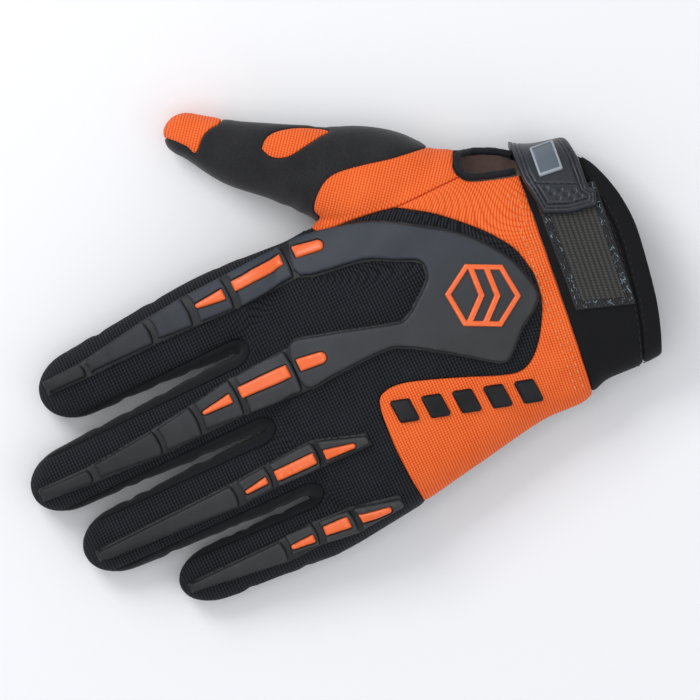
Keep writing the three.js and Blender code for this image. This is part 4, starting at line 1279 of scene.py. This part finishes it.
def emblem_field(xy):
    """A hexagon's rim and two chevrons between its sides."""
    wide, tall = EMBLEM_SIZE[0] / 2, EMBLEM_SIZE[1] / 2
    place = rotated(xy[:, :2] - on_palm([EMBLEM_PLACE])[0], -math.radians(EMBLEM_TURN))
    right_side = np.array([(0, -tall), (wide, -tall / 2), (wide, tall / 2)])
    depth = inside(place, join([right_side, -right_side]))
    field = np.minimum(depth, EMBLEM_LINE - depth)
    fall = 0.42 * wide
    steep = wide / math.hypot(wide, fall)
    for level in (0.3 * tall, -0.12 * tall):
        slant = (place[:, 1] - level - fall * (np.abs(place[:, 0]) / wide - 1)) * steep
        band = np.minimum(slant, 1.2 * EMBLEM_LINE * steep - slant)
        field = np.maximum(field, np.minimum(band, depth))
    return field


def emblem_height(xy):
    return ARMOUR_TOP + 0.1 + 0.7 * shoulder(emblem_field(xy), 0.4)


emblem_box = on_palm([EMBLEM_PLACE])[0] + [[-16], [16]]
emblem_levels = [(emblem_field, (0.12, 0.3))]
emblem_looks = (INLAY, "inlay", "emblem", ARMOUR_TOP - 0.1)
draped("emblem_relief", emblem_field, emblem_box, 0.45, emblem_height, emblem_levels, *emblem_looks)


def make_side_bars():
    first, last = on_palm(SIDE_BARS)
    lean = math.atan2(last[0] - first[0], first[1] - last[1])
    w, h, s = SIDE_BAR_SIZE[0] / 2, SIDE_BAR_SIZE[1] / 2, SIDE_BAR_SKEW / 2
    shape = np.array([(-w, -h - s), (w, -h + s), (w, h + s), (-w, h - s)])
    for i in range(SIDE_BAR_COUNT):
        outline = rotated(shape, lean) + first + (last - first) * i / (SIDE_BAR_COUNT - 1)
        node, field = f"side_bar_{i + 1}", rounded(outline, 1.1)
        moulding(node, "_relief", outline, field, 0.3, 0.8, 0.9, GLOSS, "side_bar", 0.05)


make_side_bars()


# Thread


def sweep(path, radius, sides):
    """A closed tube along a line."""
    along = unit(np.gradient(path, axis=0))
    side = unit(np.cross(along, (0.0, 0.0, 1.0)))
    points = path[:, None] + circles(side, np.cross(side, along), sides) * radius[:, None, None]
    return points.reshape(-1, 3), tube_faces(len(path), sides)


# Place along a stitch, thickness and height
STITCH_SHAPE = (
    (0.0, 0.35, -0.9), (0.18, 0.9, 0.1), (0.5, 1.0, 0.55), (0.82, 0.9, 0.1), (1.0, 0.35, -0.9)
)


def stitches(name, starts, ends, lift, radius, paint, sides=6):
    """Threads between plan points on the skin, each one rising out of the cloth and going back in."""
    place, normals = skin.drop(join([starts, ends]))
    starts, ends = np.split(place + normals * lift, 2)
    normals = normals[: len(starts)]
    along = ends - starts
    ring = circles(unit(np.cross(along, normals)), normals, sides) * radius
    middles = [starts + along * share + normals * rise * radius for share, _, rise in STITCH_SHAPE]
    rings = [m[:, None] + ring * thick for m, (_, thick, _) in zip(middles, STITCH_SHAPE)]
    each = len(STITCH_SHAPE) * sides
    faces = tube_faces(len(STITCH_SHAPE), sides) + np.arange(len(starts))[:, None, None] * each
    make(name, np.stack(rings, 1).reshape(-1, 3), faces.reshape(-1, 3), paint, sharp=180)


def seam_stitches(name, lines, length, gap, lift, radius, paint):
    """Rows of stitches along plan lines."""
    rows = [paced(line, length + gap) for line in lines]
    starts = join([row[:-1] for row in rows])
    onward = join([row[1:] for row in rows]) - starts
    stitches(name, starts, starts + onward * length / (length + gap), lift, radius, paint)


wrist_rows = [np.stack([np.linspace(-31, 46, 60), np.full(60, y)], 1) for y in (-81.8, -79.0)]
seam_stitches("wrist_hem_stitches", wrist_rows, 1.7, 1.0, 0.12, 0.3, ORANGE_THREAD)


def cuff_row(inset):
    """The part of the cuff's line that shows from above."""
    line = cuff_line(inset)
    return line[(line[:, 0] > -34) & (line[:, 0] < 50) & (line[:, 1] < -PALM_LENGTH - 3)]


cuff_rows = [cuff_row(inset) for inset in (5.9, 8.3)]
seam_stitches("cuff_hem_stitches", cuff_rows, 2.0, 0.7, 0.1, 0.22, BLACK_THREAD)


# Loop patch

patch_outline = anticlockwise(on_cuff(PATCH_EDGE))


def make_patch():
    field = rounded(patch_outline, 0.5)

    def height(xy):
        d = field(xy)
        rows = (xy[:, 1] + SHIFT[1]) / RIB_PITCH
        rib = np.abs(np.sin(math.pi * rows)) ** 0.7
        knot = np.abs(np.sin(math.pi * (xy[:, 0] + SHIFT[0] + np.floor(rows) % 2 / 2)))
        pile = 0.25 * rib + 0.1 * rib * knot
        border = 0.12 * np.sin(xy[:, 0] * 5.1) * np.sin(xy[:, 1] * 4.7)
        return 1.0 * ease(d / 0.5) + 0.15 + np.where(d > PATCH_BORDER, pile, border)

    def zone(xy):
        return field(xy) - PATCH_BORDER

    box, lines = box_of(patch_outline), [(field, (0.15, 0.5, PATCH_BORDER))]
    paints, slot = [BORDER, LOOPS], "loop_fastener"
    draped("loop_patch_pile", field, box, 0.45, height, lines, paints, slot, "loop_patch", 0.4, 60, zone)


def make_patch_thread():
    """Zigzag thread over the patch's borders."""
    chance = np.random.default_rng(7)
    starts, ends = [], []
    for insets in ((0.6, 1.7), (1.9, 2.9)):
        edges = [grow(patch_outline, -inset) for inset in insets]
        edges = [join([edge, edge[:1]]) for edge in edges]
        steps = int(length_along(edges[0])[-1] / 1.3)
        lines = [spaced(edge, np.linspace(0, 1, steps) * length_along(edge)[-1]) for edge in edges]
        zigzag = np.where((np.arange(steps) % 2)[:, None] == 0, *lines)
        zigzag = zigzag + chance.uniform(-0.22, 0.22, zigzag.shape)
        starts.append(zigzag[:-1])
        ends.append(zigzag[1:])
    stitches("loop_patch_thread", join(starts), join(ends), 1.2, 0.15, NYLON_PAINTED_GLINTS, 5)


make_patch()
make_patch_thread()


# Strap: s is the distance round the wrist, as in the weave

WRAP_TURNS = np.radians(np.arange(200, -80, -1.25))
WRAP_TOP = 88  # the turn that is straight up
STRAP_TOP, STRAP_LIFT, PATCH_LIFT = 4.2, 0.4, 1.8  # heights over the skin


def wrapped(s, y, height):
    """Places at a distance s round the wrist and a height above it."""
    left, right, bottom, top = between(palm_rows, y).T
    x, z = ring_points(left, right, bottom, top, WRAP_TURNS)
    step = np.hypot(np.diff(x, axis=1), np.diff(z, axis=1))
    gone = join([np.zeros((len(s), 1)), np.cumsum(step, 1)], 1)
    gone += ((left + right) / 2 - gone[:, WRAP_TOP])[:, None]

    def at(shift):
        rows = zip(s + shift, gone, x, z)
        return np.array([[np.interp(p, g, a), np.interp(p, g, b)] for p, g, a, b in rows])

    way = at(0.6) - at(-0.6)
    normal = unit(np.stack([-way[:, 1], 0 * s, way[:, 0]], 1))
    return np.insert(at(0), 1, y, axis=1) + normal * np.broadcast_to(height, len(s))[:, None]


def unwrapped(xy, height):
    """Round the wrist and along it, for plan points seen from above on a face at a height."""
    found = []
    for x, y in xy:
        s = np.linspace(-40, 80, 481)
        across = wrapped(s, np.full(len(s), y), height)[:, 0]
        reach = across.argmax() + 1
        found.append((np.interp(x, across[:reach], s[:reach]), y))
    return np.array(found)


def strap_outline():
    top = unwrapped(on_cuff(STRAP_EDGE), STRAP_TOP - 0.5)
    root = []
    for _, past in STRAP_ROOT:
        y = -PALM_LENGTH - past * CUFF_LENGTH
        right = between(palm_rows, np.array([y]))[0, 1]
        low = around(palm_rows, *np.array([[y], [right], [STRAP_ROOT_HEIGHT]], float))
        root.append((low[0], y))
    return join([top, root])


DIVIDE = np.array([(44.2, -88.6), (38.5, -104.3)])
DIMPLE_ROWS, DIMPLES_A_ROW, DIMPLE_RADIUS = 4, 5, 0.85


def make_strap():
    outline = anticlockwise(strap_outline())
    field = rounded(outline, 1.5)
    divide = unwrapped(DIVIDE, STRAP_TOP)
    way = unit(divide[1] - divide[0])
    row, k = np.divmod(np.arange(DIMPLE_ROWS * DIMPLES_A_ROW), DIMPLES_A_ROW)
    dimples = np.stack([33.4 + 2.4 * row + 0.3 * k, -90.6 - 3.1 * k - 1.55 * (row % 2)], 1)
    dimples = unwrapped(dimples, STRAP_TOP)

    def beyond(sy):
        """Distance past the dividing line, towards the strap's end."""
        off = sy - divide[0]
        return off[:, 0] * way[1] - off[:, 1] * way[0]

    pull_side = np.sign(beyond(dimples).mean())
    dimples = dimples[(beyond(dimples) * pull_side > 1.5) & (field(dimples) > 3.95)]

    def height(sy):
        d = field(sy)
        past = beyond(sy) * pull_side
        top = 2.6 + (STRAP_TOP - 2.6) * shoulder(d, 0.9)
        top -= 0.4 * (bell(d - 1.75, 0.28) + bell(d - 3.1, 0.28))  # two grooves along its edge
        inner = ease((d - 2.9) / 0.5)
        top += inner * (0.25 * ease(past / 0.8) - 0.45 * bell(past, 0.3))  # and one at the divide
        top += 0.55 * ease((past + 1.5) / 4) * ease(d / 2)
        for spot in dimples:
            top -= 0.7 * ease((DIMPLE_RADIUS - np.linalg.norm(sy - spot, axis=1)) / 0.5)
        return top

    def low(sy):
        return STRAP_LIFT + (PATCH_LIFT - STRAP_LIFT) * ease((PATCH_RIGHT + 2.5 - sy[:, 0]) / 2)

    lines = [(field, (0.25, 0.5, 0.85, 1.3, 1.5, 1.75, 2.0, 2.85, 3.1, 3.4))]
    lines += [(beyond, (-0.3, 0, 0.3))]
    sy, faces = sheet(field, *box_of(outline), 0.52, lines)
    top, bottom = wrapped(*sy.T, height(sy)), wrapped(*sy.T, low(sy))
    slab("wrist_strap_rubber", sy, faces, top, bottom, STRAP, "wrist_strap")


def make_strap_plate():
    outline = anticlockwise(unwrapped(on_cuff(STRAP_PLATE_EDGE), STRAP_TOP + 1))
    field = rounded(outline, 0.6)
    rim = 0.8  # width of the frame round the plate's face

    def height(sy):
        d = field(sy)
        return 4.75 + 0.5 * shoulder(d, 0.35) - 0.3 * ease((d - rim) / 0.25)

    def zone(sy):
        return field(sy) - rim

    levels = (0.1, 0.2, 0.35, rim, rim + 0.12, rim + 0.25)
    sy, faces = sheet(field, *box_of(outline), 0.5, [(field, levels)])
    top, bottom = wrapped(*sy.T, height(sy)), wrapped(*sy.T, STRAP_TOP - 0.1)
    paints = [SILVER, PLATE]
    slab("strap_plate_badge", sy, faces, top, bottom, paints, "strap_plate", zone=zone)


make_strap()
make_strap_plate()


# Piping round the wrist slot

BINDING_SEAT = SIDE_SEAM + SEAM_GAP / 2 + BINDING_RADIUS
BINDING_END = -PALM_LENGTH + 0.3


def make_binding():
    lip = on_palm(SLOT_LIP)
    start = lip[0, 1] - BINDING_RADIUS
    # Up along the glove's side first, and then round the slot's upper lip
    y = start + (BINDING_END - start) * np.array([1, 0.7, 0.4, 0.1])
    x = between(palm_rows, y)[:, 1] - BINDING_RADIUS
    lower = np.stack([x, y, np.full(4, BINDING_SEAT)], 1)
    upper = smooth(lip[1:7])
    upper = upper[upper[:, 1] > BINDING_END]
    place, _ = skin.drop(upper)
    z = np.maximum(place[:, 2] - 0.5, BINDING_SEAT + BINDING_RADIUS)
    line = join([lower, join([upper, z[:, None]], 1)[::3]])
    line = paced(smooth(line), 0.5)
    steps = np.arange(len(line))
    radius = (BINDING_RADIUS + 0.15) * (1 + 0.045 * np.sin(steps / 1.9) + 0.03 * np.sin(steps / 0.83))
    points, faces = sweep(line, radius, 16)
    weave = np.stack([np.tile(np.arange(16) * 0.5, len(line)), np.repeat(steps * 0.5, 16)], 1)
    make("slot_binding_piping", points, faces, BINDING, "slot_binding", weave=weave, sharp=80)


make_binding()


# Floor, light and camera


FLOOR = [(-2, -2, 0), (2, -2, 0), (2, 2, 0), (-2, 2, 0)]
LIGHTS = (  # name, place, size, power
    ("key", (0.75, 0.35, 0.85), 0.5, 6),
    ("fill", (-0.7, -0.6, 0.9), 0.9, 2),
    ("top", (-0.1, 0.2, 1.25), 0.8, 3),
)
ROOM_COLOUR, ROOM_STRENGTH = (0.93, 0.95, 1, 1), 0.62
VIEW_PLACE = (-0.01522, -0.00701, 4.0)
VIEW_RIGHT = (-0.3256, -0.9455, 0)
VIEW_WIDTH, VIEW_MIDDLE = 0.2512, 0.018  # the picture's width at the glove's middle height


def stage():
    scene = bpy.context.scene
    scene.view_settings.view_transform = "Standard"
    world = bpy.data.worlds.new("soft_room")
    world.use_nodes = True
    room = world.node_tree.nodes["Background"].inputs
    room["Color"].default_value, room["Strength"].default_value = ROOM_COLOUR, ROOM_STRENGTH
    scene.world = world
    ground = Paint("pale_floor", 0.9)
    ground.colour((0.86, 0.86, 0.87, 1))
    mesh = blender_mesh("floor", FLOOR, np.array([(0, 1, 2), (0, 2, 3)]))
    mesh.materials.append(ground.material)
    placed("floor", mesh)
    for name, place, size, power in LIGHTS:
        light = bpy.data.lights.new(name, "AREA")
        light.size, light.energy = size, power
        lamp = placed(name, light)
        lamp.location = place
        lamp.rotation_euler = (-Vector(place)).to_track_quat("-Z", "Y").to_euler()
    view = bpy.data.cameras.new("camera")
    view.lens = view.sensor_width * (VIEW_PLACE[2] - VIEW_MIDDLE) / VIEW_WIDTH
    camera = placed("camera", view)
    right, above = Vector(VIEW_RIGHT), Vector((0, 0, 1))
    turn = Matrix((right, above.cross(right), above)).transposed().to_4x4()
    camera.matrix_world = Matrix.Translation(VIEW_PLACE) @ turn
    scene.camera = camera


stage()
